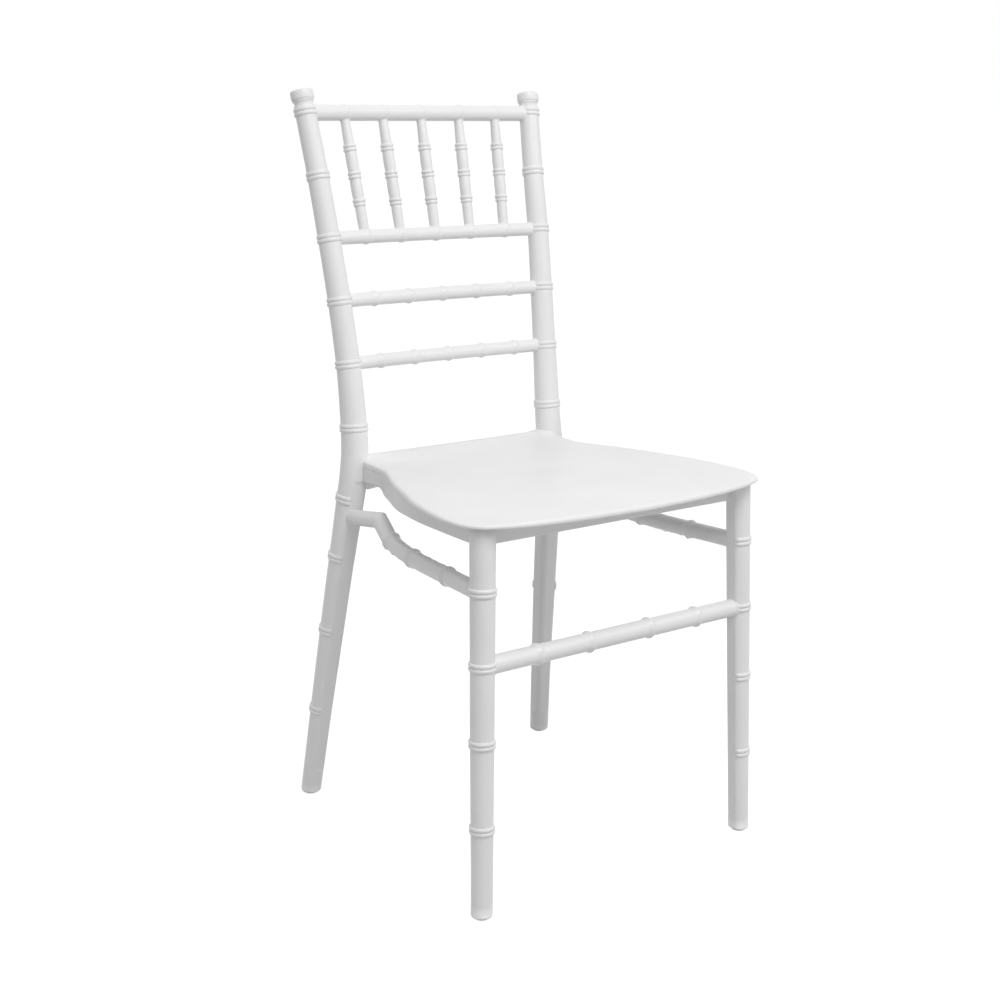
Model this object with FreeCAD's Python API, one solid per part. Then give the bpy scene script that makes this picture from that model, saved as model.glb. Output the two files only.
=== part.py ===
import FreeCAD, Part
import math
import os

# A chiavari chair moulded in hard white plastic and put together from
# separate turned-look members. Millimetres, +Z up, the chair faces -Y.
# The origin is on the floor, in the middle of the chair's width and depth.
# Every member is drawn for the side where x is positive, then mirrored.

V = FreeCAD.Vector
os.makedirs("parts", exist_ok=True)

# Fit between parts: the air left around a member that enters another one.
FIT = 0.15
# Air between a stretcher's end and the flat of the leg that it meets.
FLAT_FIT = 0.2

# Rear post, foot to top: height, half spacing, depth position, radius.
REAR_STATIONS = [
    (0.0, 189.0, 218.0, 13.0),
    (103.0, 180.7, 203.0, 13.8),
    (221.0, 171.2, 184.2, 15.2),
    (318.0, 163.4, 168.0, 16.1),
    (396.0, 157.1, 154.0, 17.2),
    (440.0, 152.5, 148.6, 17.4),
    (474.0, 149.6, 149.4, 16.9),
    (525.0, 149.3, 153.7, 16.0),
    (575.0, 150.3, 159.7, 15.1),
    (651.0, 153.6, 171.6, 14.4),
    (726.0, 158.0, 185.8, 13.7),
    (800.0, 161.8, 202.4, 13.15),
    (883.0, 167.8, 221.3, 12.6),
]
REAR_RINGS_BELOW_SEAT = [121.0, 232.0, 332.0, 409.0]
REAR_RINGS_ABOVE_SEAT = [497.7, 575.2, 651.3, 726.4, 800.4, 876.0]
REAR_FLATS_START = 40.0
FOOT_LEDGE = 0.3
REAR_FLATS_END = 436.0
REAR_FOOT_ROUNDING = 3.6
REAR_TOP = 883.0

# Front leg, foot to seat.
FRONT_STATIONS = [
    (0.0, 196.3, -192.3, 12.25),
    (90.0, 194.1, -190.0, 12.75),
    (180.0, 192.0, -187.6, 13.25),
    (260.0, 190.1, -185.6, 13.7),
    (340.0, 188.1, -183.5, 14.0),
    (449.0, 185.6, -180.8, 14.5),
]
FRONT_RINGS = [105.2, 204.3, 292.5, 375.5]
FRONT_FOOT_ROUNDING = 2.6

# Section of the legs below the seat: a round bar with two flats that meet
# in a rounded corner, all as shares of the radius.
FLAT_SHARE = 0.87
CORNER_SHARE = 0.5

# Double-bead rings on posts, legs and spindles.
BEAD_RISE = 1.6
BEAD_HALF_WIDTH = 5.0
# Flared bands with a fine groove on rails and stretchers.
BAND_RISE = 1.9
BAND_HALF_WIDTH = 7.5
BAND_GROOVE = 0.8

# Rails of the back: height, radius, places of the bands and their rise,
# tenon reach past the post's axis and tenon radius. Each bows to the rear.
RAIL_BOW = 6.0
RAILS = {
    "top_rail": (875.0, 9.75, [0.0, 57.0, 112.7], 1.0, -5.5, 5.0),
    "spindle_rail": (726.4, 8.5, [0.0, 52.5, 104.5], 1.3, 3.0, 4.5),
    "upper_ladder_rail": (651.4, 8.5, [0.0, 51.7, 103.5], 1.5, 3.0, 4.5),
    "lower_ladder_rail": (575.4, 8.4, [0.0, 51.0, 102.0], 1.5, 3.0, 4.5),
}

# Spindles between the spindle rail and the top rail.
SPINDLES_X = [(-105.0, -112.7), (-52.5, -57.0), (0.0, 0.0), (52.5, 57.0), (105.0, 112.7)]
SPINDLE_FOOT_RADIUS = 6.3
SPINDLE_NECK_RADIUS = 5.7
SPINDLE_BELLY_RADIUS = 7.4
SPINDLE_RING_RADIUS = 8.3
SPINDLE_RING_HALF = 4.5
SPINDLE_RINGS = [0.272, 0.494, 0.716]
SPINDLE_TENON_RADIUS = 3.2
SPINDLE_TENON_DEPTH = 5.0

# Finial caps on the posts.
FINIAL_NECK_RADIUS = 11.3
FINIAL_DISC_RADIUS = 14.3
FINIAL_HEIGHT = 19.2
FINIAL_PIN_RADIUS = 3.8
FINIAL_PIN_LENGTH = 14.0

# Foot glides: a disc that the chair stands on and a pin in the leg.
GLIDE_THICKNESS = 1.5
GLIDE_RADIUS = 8.3
GLIDE_PIN_RADIUS = 3.5
GLIDE_PIN_LENGTH = 12.0

# Front stretcher.
FRONT_STRETCHER_Z = 291.5
FRONT_STRETCHER_RADIUS = 10.7
FRONT_STRETCHER_BANDS = [-117.0, -44.0, 44.0, 117.0]

# Side stretcher: a stub rises from the rear leg to a mitred elbow, then the
# bar swoops down and runs level into the front leg. Depth and height.
SIDE_REAR = (157.5, 154.0, 384.4)
SIDE_ELBOW = (165.4, 65.0, 399.3)
SIDE_SWOOP = [(48.0, 387.4), (35.0, 380.6), (15.0, 376.2), (-9.0, 373.6),
              (-45.0, 372.4), (-110.0, 372.6), (-182.6, 373.2)]
SIDE_STUB_RADIUS = 9.8
SIDE_SWOOP_RADIUS = 10.0
# Distance between the sections that the bent bar is drawn through.
SIDE_STEP = 12.0
SIDE_BANDS_Y = [35.0, -21.0, -105.0]
SIDE_FRONT_X = 187.3

# Seat: outline of the lip on one side, from the post round to the middle of
# the front, as half width and depth position.
SEAT_BACK_X = 134.0
SEAT_BACK_Y = 164.0
SEAT_SIDE = [(149.6, 128.0), (149.3, 104.0), (151.0, 82.0), (159.0, 59.0), (169.0, 36.0),
             (181.0, 5.0), (194.5, -38.0), (204.5, -68.0), (211.0, -101.0), (215.3, -137.0),
             (215.8, -159.0), (212.3, -181.0), (204.0, -195.0), (190.0, -205.5), (151.0, -219.5),
             (83.0, -231.5), (0.0, -236.9)]
SEAT_LIP_Z = 448.5
SEAT_CROWN_Z = 459.2
SEAT_CROWN_RADIUS = 6000.0
SEAT_CROWN_Y = -30.0
# Rolled edge of the seat: height and how far the outline is drawn in.
LIP_PROFILE = [(448.5, 1.8), (449.3, 0.5), (450.6, 0.0), (452.4, 0.2),
               (454.0, 1.3), (455.1, 3.2), (455.8, 6.0), (456.3, 9.5)]
SEAT_SKIN = 4.5
COLLAR_TOP_Z = 464.0
# The back edge turns up a little between the posts: where the rise starts
# and ends, and its heights there.
BACK_RISE = [(105.0, 456.4), (163.5, 459.6)]

# Skirt under the seat: outer face on one side, back to front.
SKIRT_SIDE = [(149.0, 128.0), (148.7, 104.0), (149.5, 86.0), (159.0, 59.0), (177.0, 9.0),
              (183.5, -24.0), (188.3, -64.0), (190.5, -125.0), (191.0, -172.0)]
SKIRT_FRONT_Y = -181.0
SKIRT_BACK_Y = 160.0
SKIRT_LOWER_Z = 425.0
SKIRT_WALL = 3.5
BRACKET_LOWER_Z = 422.0
# Outer skin of the bracket, which ends higher than the block inside it.
BRACKET_SKIN_X = 141.2
BRACKET_SKIN_Z = 432.0
BRACKET_INNER_X = 112.0
CORNER_BLOCK_X = 150.0
CORNER_BLOCK_Y = -150.0
RIB_THICKNESS = 2.6
RIB_LOWER_Z = 434.0
RIBS_ALONG_X = [-62.0, 62.0]
RIBS_ACROSS_Y = [-85.0, 55.0]

# Bolts, all hidden under the seat.
BOLT_RADIUS = 3.0
BOLT_HEAD_RADIUS = 5.0
BOLT_HEAD_HEIGHT = 5.0
REAR_BOLT_Y = 148.8
REAR_BOLT_Z = 430.0
REAR_BOLT_TIP_X = 157.0
FRONT_BOLT_Z = 437.0
FRONT_BOLT_REACH = 36.0
FRONT_BOLT_TIP = -2.0


def station_curve(stations):
    """Smooth line through the stations' centres, measured by height."""
    heights = [s[0] for s in stations]
    centres = [V(s[1], s[2], s[0]) for s in stations]
    curve = Part.BSplineCurve()
    curve.interpolate(Points=centres, Parameters=heights)
    return curve


def station_radius(stations):
    """Smooth radius over the height, as a function."""
    heights = [s[0] for s in stations]
    values = [V(s[3], 0, s[0]) for s in stations]
    curve = Part.BSplineCurve()
    curve.interpolate(Points=values, Parameters=heights)
    return lambda z: curve.value(z).x


def unit(vector):
    length = vector.Length
    return V(vector.x / length, vector.y / length, vector.z / length)


def mirrored(shape):
    """The same member on the other side of the chair."""
    return shape.mirror(V(0, 0, 0), V(1, 0, 0))


def rod(start, end, radius):
    """A straight round bar between two points."""
    way = end.sub(start)
    return Part.makeCylinder(radius, way.Length, start, way)


def turned(profile, centre, direction):
    """A turned solid from profile points (radius, distance along the axis)."""
    points = [V(r, 0, s) for r, s in profile]
    face = Part.Face(Part.makePolygon(points + points[:1]))
    solid = face.revolve(V(0, 0, 0), V(0, 0, 1), 360)
    turn = FreeCAD.Rotation(V(0, 0, 1), direction)
    solid.Placement = FreeCAD.Placement(centre, turn)
    return solid


def both_sides(half_profile):
    """Complete a ring's profile, drawn from its middle to one edge."""
    other = [(r, -s) for r, s in reversed(half_profile) if s > 0]
    return other + half_profile


def bead_ring(centre, direction, radius, rise=BEAD_RISE, half=BEAD_HALF_WIDTH):
    """Two round beads side by side, like the knot of a bamboo cane."""
    top = radius + rise
    shoulder = radius + 0.6 * rise
    profile = both_sides([
        (radius + 0.2 * rise, 0), (shoulder, 0.14 * half), (top, 0.38 * half),
        (top, 0.62 * half), (shoulder, 0.86 * half), (radius - 0.6, half),
        (radius - 1.8, half)])
    return turned(profile, centre, direction)


def band_ring(centre, direction, radius, rise=BAND_RISE, half=BAND_HALF_WIDTH):
    """A flared band with a fine groove round its middle."""
    top = radius + rise
    profile = both_sides([
        (top - BAND_GROOVE, 0), (top, 0.07 * half), (top, 0.15 * half),
        (radius + 0.32 * rise, 0.52 * half), (radius - 0.4, half), (radius - 1.8, half)])
    return turned(profile, centre, direction)


def section_axes(direction, facing):
    """Inward and facing directions square to the leg's axis."""
    inward = V(-1, 0, 0)
    inward = unit(inward.sub(direction * inward.dot(direction)))
    other = direction.cross(inward)
    if other.y * facing < 0:
        other = other * -1
    return inward, other


def flatted_section(centre, direction, radius, facing):
    """Outline of a leg below the seat: round outside, flat on two sides."""
    inward, other = section_axes(direction, facing)
    flat = FLAT_SHARE * radius
    corner = CORNER_SHARE * radius
    chord = math.sqrt(radius * radius - flat * flat)
    near = flat - corner
    middle = near + corner * math.sqrt(0.5)
    far = -radius * math.sqrt(0.5)

    def at(u, w):
        return centre + inward * u + other * w

    edges = [
        Part.makeLine(at(flat, -chord), at(flat, near)),
        Part.Arc(at(flat, near), at(middle, middle), at(near, flat)).toShape(),
        Part.makeLine(at(near, flat), at(-chord, flat)),
        Part.Arc(at(-chord, flat), at(far, far), at(flat, -chord)).toShape(),
    ]
    return Part.Wire(edges)


def heights_between(stations, low, high):
    """Section heights for a loft: the ends and the stations between them."""
    inside = [s[0] for s in stations if low + 12 < s[0] < high - 12]
    return [low] + inside + [high]


def loft_member(stations, low, high, facing, extra=0.0):
    """Loft along the station line; facing 0 gives a round bar."""
    curve = station_curve(stations)
    radius = station_radius(stations)
    sections = []
    for z in heights_between(stations, low, high):
        centre = curve.value(z)
        direction = unit(curve.tangent(z)[0])
        size = radius(z) + extra
        if facing:
            sections.append(flatted_section(centre, direction, size, facing))
        else:
            circle = Part.Circle(centre, direction, size)
            sections.append(Part.Wire([circle.toShape()]))
    straight = facing != 0
    return Part.makeLoft(sections, True, straight)


def half_rings(stations, heights, facing, extra=0.0):
    """Bead rings that stop at the leg's two flats."""
    curve = station_curve(stations)
    radius = station_radius(stations)
    rings = []
    for z in heights:
        centre = curve.value(z)
        direction = unit(curve.tangent(z)[0])
        size = radius(z)
        ring = bead_ring(centre, direction, size + extra, BEAD_RISE + 0.3)
        inward, other = section_axes(direction, facing)
        reach = 60.0
        flat = (FLAT_SHARE - 0.02) * size + extra
        corner = centre - inward * reach - other * reach - direction * reach
        edge_a = inward * (reach + flat)
        edge_b = other * (reach + flat)
        base = Part.makePolygon([corner, corner + edge_a, corner + edge_a + edge_b,
                                 corner + edge_b, corner])
        keep = Part.Face(base).extrude(direction * (2 * reach))
        rings.append(ring.common(keep))
    return rings


def half_space(point, normal, size=200.0):
    """A large block on the side of a plane that the normal points to."""
    block = Part.makeBox(size, size, size, V(-size / 2, -size / 2, 0))
    block.Placement = FreeCAD.Placement(point, FreeCAD.Rotation(V(0, 0, 1), normal))
    return block


def rounded_foot(leg, stations, rounding):
    """Cut the foot level with the glide's top and round its lower edge."""
    leg = leg.cut(half_space(V(0, 0, GLIDE_THICKNESS), V(0, 0, -1), 900.0))
    centre = station_curve(stations).value(GLIDE_THICKNESS)
    radius = stations[0][3] + 0.2
    low = GLIDE_THICKNESS
    profile = [
        (radius - rounding, low - 8), (radius - rounding, low),
        (radius - 0.3 * rounding, low + 0.3 * rounding), (radius, low + rounding),
        (radius + 8, low + rounding), (radius + 8, low - 8)]
    return leg.cut(turned(profile, V(centre.x, centre.y, 0), V(0, 0, 1)))


def trimmed_to_flat(bar, stations, z, facing, inner):
    """Cut a bar's end square to one of a leg's flats, just clear of it."""
    centre = station_curve(stations).value(z)
    direction = unit(station_curve(stations).tangent(z)[0])
    inward, other = section_axes(direction, facing)
    way = inward if inner else other
    reach = FLAT_SHARE * station_radius(stations)(z) + FLAT_FIT
    return bar.cut(half_space(centre + way * reach, way * -1))


def rear_post_blank(extra=0.0):
    """Rear post before its sockets are cut."""
    curve = station_curve(REAR_STATIONS)
    step_point = curve.value(REAR_FLATS_START)
    step_normal = unit(V(-0.45, -0.45, 1.0))
    foot = loft_member(REAR_STATIONS, 0.0, 90.0, 0, extra + FOOT_LEDGE)
    foot = foot.cut(half_space(step_point, step_normal))
    leg = loft_member(REAR_STATIONS, 12.0, REAR_FLATS_END, -1, extra)
    leg = leg.cut(half_space(step_point, step_normal * -1))
    post = loft_member(REAR_STATIONS, REAR_FLATS_END, REAR_TOP, 0, extra)
    blank = foot.fuse([leg, post])
    radius = station_radius(REAR_STATIONS)
    rings = half_rings(REAR_STATIONS, REAR_RINGS_BELOW_SEAT, -1, extra)
    for z in REAR_RINGS_ABOVE_SEAT:
        direction = unit(curve.tangent(z)[0])
        rings.append(bead_ring(curve.value(z), direction, radius(z) + extra))
    return blank.fuse(rings)


def front_leg_blank(extra=0.0):
    """Front leg before its sockets are cut."""
    leg = loft_member(FRONT_STATIONS, 0.0, 449.0, 1, extra)
    return leg.fuse(half_rings(FRONT_STATIONS, FRONT_RINGS, 1, extra))


def glide(stations):
    """Foot glide under one leg, with its pin and the pin's hole."""
    centre = station_curve(stations).value(GLIDE_THICKNESS)
    foot = V(centre.x, centre.y, 0)
    disc = Part.makeCylinder(GLIDE_RADIUS, GLIDE_THICKNESS, foot)
    pin_top = V(centre.x, centre.y, GLIDE_THICKNESS + GLIDE_PIN_LENGTH)
    pin = rod(foot, pin_top, GLIDE_PIN_RADIUS)
    hole = rod(foot, pin_top, GLIDE_PIN_RADIUS + FIT)
    return disc.fuse(pin), hole


def tenon_pair(start, end, radius):
    """A tenon and the wider socket that takes it, with one end plane."""
    return rod(start, end, radius), rod(start, end, radius + FIT)


def rail_arc(half_span, depth, height):
    """Arc of a back rail between the posts' axes, bowed back."""
    ends = [V(-half_span, depth, height), V(half_span, depth, height)]
    return Part.Arc(ends[0], V(0, depth + RAIL_BOW, height), ends[1])


def arc_at(curve, x):
    """Point and direction on a rail's arc where it crosses x."""
    plane = Part.Plane(V(x, 0, 0), V(1, 0, 0))
    point = curve.intersect(plane)[0][0]
    spot = V(point.X, point.Y, point.Z)
    return spot, unit(curve.tangent(curve.parameter(spot))[0])


def swept_bar(curve, radius):
    """Round bar of one radius along a curve."""
    path = Part.Wire([curve.toShape()])
    start = curve.value(curve.FirstParameter)
    direction = curve.tangent(curve.FirstParameter)[0]
    circle = Part.Wire([Part.Circle(start, direction, radius).toShape()])
    return path.makePipeShell([circle], True, False)


def spindle_body(start, end):
    """Turned spindle: three rings with swelling lengths between them."""
    length = end.sub(start).Length
    rings = [length * share for share in SPINDLE_RINGS]
    slim = 0.5 * (SPINDLE_BELLY_RADIUS + SPINDLE_FOOT_RADIUS)
    profile = [(0, 0), (SPINDLE_FOOT_RADIUS, 0)]
    for low, high in zip(rings, rings[1:]):
        profile += [(slim - 0.3, low), (SPINDLE_BELLY_RADIUS, 0.65 * low + 0.35 * high),
                    (SPINDLE_BELLY_RADIUS, 0.35 * low + 0.65 * high)]
    profile += [(slim - 0.3, rings[-1]), (SPINDLE_NECK_RADIUS, length), (0, length)]
    direction = unit(end.sub(start))
    body = turned(profile, start, direction)
    beads = []
    for s in rings:
        rise = SPINDLE_RING_RADIUS - slim
        beads.append(bead_ring(start + direction * s, direction, slim, rise, SPINDLE_RING_HALF))
    return body.fuse(beads)


def finial(centre, direction):
    """Cap with a neck, a flare, a fine groove and a thick rounded disc."""
    neck = FINIAL_NECK_RADIUS
    disc = FINIAL_DISC_RADIUS
    top = FINIAL_HEIGHT
    profile = [
        (0, 0), (neck, 0), (neck, 1.6), (neck + 0.6, 4.2), (disc - 1.1, 6.0), (disc - 1.5, 6.6),
        (disc - 0.9, 7.3), (disc, 9.2), (disc, top - 3.2), (disc - 0.5, top - 1.7),
        (disc - 1.6, top - 0.5), (disc - 3.2, top), (0, top)]
    cap = turned(profile, centre, direction)
    inside = centre - direction * FINIAL_PIN_LENGTH
    start = centre + direction * 3.0
    pin, hole = tenon_pair(start, inside, FINIAL_PIN_RADIUS)
    return cap.fuse(pin), hole


def inset_points(side, inset):
    """Points of a side outline moved inwards, square to the outline."""
    moved = []
    for i in range(len(side)):
        before = side[max(i - 1, 0)]
        after = side[min(i + 1, len(side) - 1)]
        along = unit(V(after[0] - before[0], after[1] - before[1], 0))
        x, y = side[i]
        moved.append((x + along.y * inset, y - along.x * inset))
    return moved


def seat_outline(inset, z):
    """Closed outline of the seat: straight back edge, smooth all round."""
    side = inset_points(SEAT_SIDE, inset)
    right = [V(x, y, z) for x, y in side[:-1]]
    left = [V(-x, y, z) for x, y in reversed(side[:-1])]
    curve = Part.BSplineCurve()
    curve.interpolate(right + [V(0, SEAT_SIDE[-1][1] + inset, z)] + left)
    corner_right = V(SEAT_BACK_X, SEAT_BACK_Y - inset, z)
    corner_left = V(-SEAT_BACK_X, SEAT_BACK_Y - inset, z)
    edges = [
        curve.toShape(),
        Part.makeLine(left[-1], corner_left),
        Part.makeLine(corner_left, corner_right),
        Part.makeLine(corner_right, right[0]),
    ]
    return Part.Wire(edges)


def skirt_face(inset, z):
    """Face inside the skirt's outer line, moved inwards by inset."""
    side = inset_points(SKIRT_SIDE, inset)
    front = SKIRT_FRONT_Y + inset
    back = SKIRT_BACK_Y - inset
    right = Part.BSplineCurve()
    right.interpolate([V(x, y, z) for x, y in side])
    left = Part.BSplineCurve()
    left.interpolate([V(-x, y, z) for x, y in reversed(side)])
    first = side[0]
    last = side[-1]
    corner = (last[0], front)
    edges = [
        right.toShape(),
        Part.makeLine(V(last[0], last[1], z), V(corner[0], corner[1], z)),
        Part.makeLine(V(corner[0], corner[1], z), V(-corner[0], corner[1], z)),
        Part.makeLine(V(-corner[0], corner[1], z), V(-last[0], last[1], z)),
        left.toShape(),
        Part.makeLine(V(-first[0], first[1], z), V(-first[0], back, z)),
        Part.makeLine(V(-first[0], back, z), V(first[0], back, z)),
        Part.makeLine(V(first[0], back, z), V(first[0], first[1], z)),
    ]
    return Part.Face(Part.Wire(edges))


def seat_plate():
    """Crowned top of the seat with its rounded lip."""
    lip = Part.makeLoft([seat_outline(inset, z) for z, inset in LIP_PROFILE], True, True)
    crown_edge = LIP_PROFILE[-1][1]
    middle = Part.Face(seat_outline(crown_edge, SEAT_LIP_Z + 1)).extrude(V(0, 0, 20))
    dome = Part.makeSphere(SEAT_CROWN_RADIUS,
                           V(0, SEAT_CROWN_Y, SEAT_CROWN_Z - SEAT_CROWN_RADIUS))
    return lip.fuse(middle).common(dome)


def seat_shell(post, leg):
    """The whole seat: plate, collars, skirt, ribs, brackets and corner blocks."""
    plate = seat_plate()
    outer = skirt_face(0.0, 0.0)
    inner = skirt_face(SKIRT_WALL, 0.0)
    join_z = SEAT_LIP_Z + 1.0
    pocket_top = SEAT_CROWN_Z - SEAT_SKIN - 2.6

    def prism(face, low, high):
        moved = face.copy()
        moved.translate(V(0, 0, low))
        return moved.extrude(V(0, 0, high - low))

    skirt = prism(outer, SKIRT_LOWER_Z, join_z).cut(prism(inner, SKIRT_LOWER_Z - 5, join_z + 5))
    pocket = prism(inner, SEAT_LIP_Z - 10, pocket_top)

    # Side view of the rear bracket: deep at the post, curving up forwards.
    def at(y, z):
        return V(BRACKET_INNER_X, y, z)

    bracket_edges = [
        Part.makeLine(at(170, join_z), at(170, BRACKET_LOWER_Z)),
        Part.makeLine(at(170, BRACKET_LOWER_Z), at(132, BRACKET_LOWER_Z)),
        Part.Arc(at(132, BRACKET_LOWER_Z), at(121, 425.2), at(110, BRACKET_SKIN_Z)).toShape(),
        Part.makeLine(at(110, BRACKET_SKIN_Z), at(88, BRACKET_SKIN_Z)),
        Part.makeLine(at(88, BRACKET_SKIN_Z), at(88, join_z)),
        Part.makeLine(at(88, join_z), at(170, join_z)),
    ]
    bracket = Part.Face(Part.Wire(bracket_edges)).extrude(V(60, 0, 0))
    bracket = bracket.common(prism(outer, BRACKET_LOWER_Z - 5, pocket_top + 1))
    low = BRACKET_LOWER_Z - 5
    skin_edges = [
        Part.Arc(at(76, SKIRT_LOWER_Z - 2), at(86, 429.6), at(99, BRACKET_SKIN_Z)).toShape(),
        Part.makeLine(at(99, BRACKET_SKIN_Z), at(172, BRACKET_SKIN_Z)),
        Part.makeLine(at(172, BRACKET_SKIN_Z), at(172, low)),
        Part.makeLine(at(172, low), at(76, low)),
        Part.makeLine(at(76, low), at(76, SKIRT_LOWER_Z - 2)),
    ]
    skin_cut = Part.Face(Part.Wire(skin_edges))
    skin_cut.translate(V(BRACKET_SKIN_X - BRACKET_INNER_X, 0, 0))
    skin_cut = skin_cut.extrude(V(30, 0, 0))

    # Corner block behind the front leg, with a face square to its bolt.
    corner = Part.makeBox(60, 40, join_z - SKIRT_LOWER_Z,
                          V(CORNER_BLOCK_X, CORNER_BLOCK_Y - 40, SKIRT_LOWER_Z))
    corner = corner.common(prism(outer, SKIRT_LOWER_Z, join_z))
    leg_axis = station_curve(FRONT_STATIONS).value(FRONT_BOLT_Z)
    bolt_way = unit(V(-1, 1, 0))
    seat_point = leg_axis + bolt_way * FRONT_BOLT_REACH
    corner = corner.cut(half_space(seat_point, bolt_way))

    # Raised collar round the post.
    post_axis = station_curve(REAR_STATIONS).value(456.0)
    collar = Part.makeCone(33.0, 19.4, COLLAR_TOP_Z - 452.0, V(post_axis.x, post_axis.y, 452.0))
    collar_limit = Part.Face(seat_outline(4.0, SEAT_LIP_Z + 2))
    collar = collar.common(collar_limit.extrude(V(0, 0, 40)))

    # Wedge that turns the back edge up, drawn in side view.
    (rise_start, start_z), (rise_end, end_z) = BACK_RISE
    rim_base = SEAT_LIP_Z + 3
    rim_edge = [V(-200, rise_start, start_z), V(-200, rise_end, end_z),
                V(-200, rise_end, rim_base), V(-200, rise_start, rim_base)]
    rim = Part.Face(Part.makePolygon(rim_edge + rim_edge[:1])).extrude(V(400, 0, 0))
    rim = rim.common(Part.Face(seat_outline(0.5, rim_base)).extrude(V(0, 0, 20)))

    ribs = []
    for x in RIBS_ALONG_X:
        ribs.append(Part.makeBox(RIB_THICKNESS, 500, pocket_top + 1 - RIB_LOWER_Z,
                                 V(x - RIB_THICKNESS / 2, -250, RIB_LOWER_Z)))
    for y in RIBS_ACROSS_Y:
        ribs.append(Part.makeBox(500, RIB_THICKNESS, pocket_top + 1 - RIB_LOWER_Z,
                                 V(-250, y - RIB_THICKNESS / 2, RIB_LOWER_Z)))
    inside = prism(skirt_face(SKIRT_WALL - 0.5, 0.0), RIB_LOWER_Z - 5, pocket_top + 1)
    ribs = [rib.common(inside) for rib in ribs]

    pieces = [skirt, bracket, mirrored(bracket), corner, mirrored(corner),
              collar, mirrored(collar), rim] + ribs
    shell = plate.cut(pocket).fuse(pieces)
    shell = shell.cut([post, mirrored(post), leg, mirrored(leg), skin_cut, mirrored(skin_cut)])
    return shell.removeSplitter()


def band_profile():
    """Half of a flared band: distance from its middle and rise over the bar."""
    return [(0.0, BAND_RISE - BAND_GROOVE), (0.07 * BAND_HALF_WIDTH, BAND_RISE),
            (0.15 * BAND_HALF_WIDTH, BAND_RISE), (0.52 * BAND_HALF_WIDTH, 0.32 * BAND_RISE),
            (BAND_HALF_WIDTH, 0.0)]


def swoop_stops(curve):
    """Distances along the swoop with the bar's radius at each, bands included."""
    length = curve.length()
    middles = []
    for y in SIDE_BANDS_Y:
        hit = curve.intersect(Part.Plane(V(0, y, 0), V(0, 1, 0)))[0][0]
        middles.append(curve.length(curve.FirstParameter, curve.parameter(V(hit.X, hit.Y, hit.Z))))
    stops = []
    steps = int(length / SIDE_STEP)
    for i in range(1, steps + 1):
        distance = length * i / steps
        if all(abs(distance - middle) > BAND_HALF_WIDTH + 2 for middle in middles):
            stops.append((distance, SIDE_SWOOP_RADIUS))
    for middle in middles:
        for offset, rise in band_profile():
            stops.append((middle + offset, SIDE_SWOOP_RADIUS + rise))
            if offset > 0:
                stops.append((middle - offset, SIDE_SWOOP_RADIUS + rise))
    return sorted(stops)


def side_stretcher():
    """Stub, mitred elbow and swoop, with tenons at both ends."""
    rear = V(*SIDE_REAR)
    elbow = V(*SIDE_ELBOW)
    slope = (SIDE_FRONT_X - elbow.x) / (SIDE_SWOOP[-1][0] - elbow.y)
    points = [elbow]
    for y, z in SIDE_SWOOP:
        points.append(V(elbow.x + slope * (y - elbow.y), y, z))
    curve = Part.BSplineCurve()
    curve.interpolate(points)
    stub_way = unit(elbow.sub(rear))
    swoop_way = unit(curve.tangent(curve.FirstParameter)[0])
    mitre = unit(stub_way + swoop_way)
    sideways = unit(stub_way.cross(swoop_way))

    def round_section(centre, way, radius):
        circle = Part.Circle(centre, way, radius)
        circle.XAxis = unit(sideways.cross(way))
        return Part.Wire([circle.toShape()])

    # The mitre's section is an oval, wider across the bend.
    widening = 1 / stub_way.dot(mitre)
    oval = Part.Ellipse(elbow + sideways.cross(mitre) * (SIDE_SWOOP_RADIUS * widening),
                        elbow + sideways * SIDE_SWOOP_RADIUS, elbow)
    sections = [
        round_section(rear, stub_way, SIDE_STUB_RADIUS),
        round_section(elbow - stub_way * SIDE_STEP, stub_way, SIDE_SWOOP_RADIUS),
        Part.Wire([oval.toShape()]),
    ]
    for distance, radius in swoop_stops(curve):
        place = curve.parameterAtDistance(distance, curve.FirstParameter)
        sections.append(round_section(curve.value(place), unit(curve.tangent(place)[0]), radius))
    bar = Part.makeLoft(sections, True, True)
    bar = trimmed_to_flat(bar, REAR_STATIONS, rear.z, -1, False)
    bar = trimmed_to_flat(bar, FRONT_STATIONS, points[-1].z, 1, False)
    rear_tenon, rear_socket = tenon_pair(rear + stub_way * 30, rear, 5.0)
    front_end = points[-1]
    front_way = unit(front_end.sub(points[-2]))
    front_start = front_end - front_way * 30
    front_tenon, front_socket = tenon_pair(front_start, front_end, 5.0)
    bar = bar.fuse([rear_tenon, front_tenon])
    return bar, rear_socket, front_socket


def bolt(tip, head_face, way):
    """Bolt from its tip to the face under its head; the head lies beyond."""
    shaft = rod(tip, head_face, BOLT_RADIUS)
    head = rod(head_face, head_face + way * BOLT_HEAD_HEIGHT, BOLT_HEAD_RADIUS)
    hex_edges = []
    side = way.cross(V(0, 0, 1))
    for i in range(7):
        angle = math.radians(60 * i)
        hex_edges.append(head_face + way * (BOLT_HEAD_HEIGHT - 2.5)
                         + side * (2.6 * math.cos(angle)) + V(0, 0, 2.6 * math.sin(angle)))
    recess = Part.Face(Part.makePolygon(hex_edges)).extrude(way * 5)
    hole = rod(tip - way * 1.0, head_face + way * 1.0, BOLT_RADIUS + FIT)
    return shaft.fuse(head).cut(recess), hole


def save(name, shape):
    """Write one sub-part."""
    shape.exportStep("parts/" + name + ".step")


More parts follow.
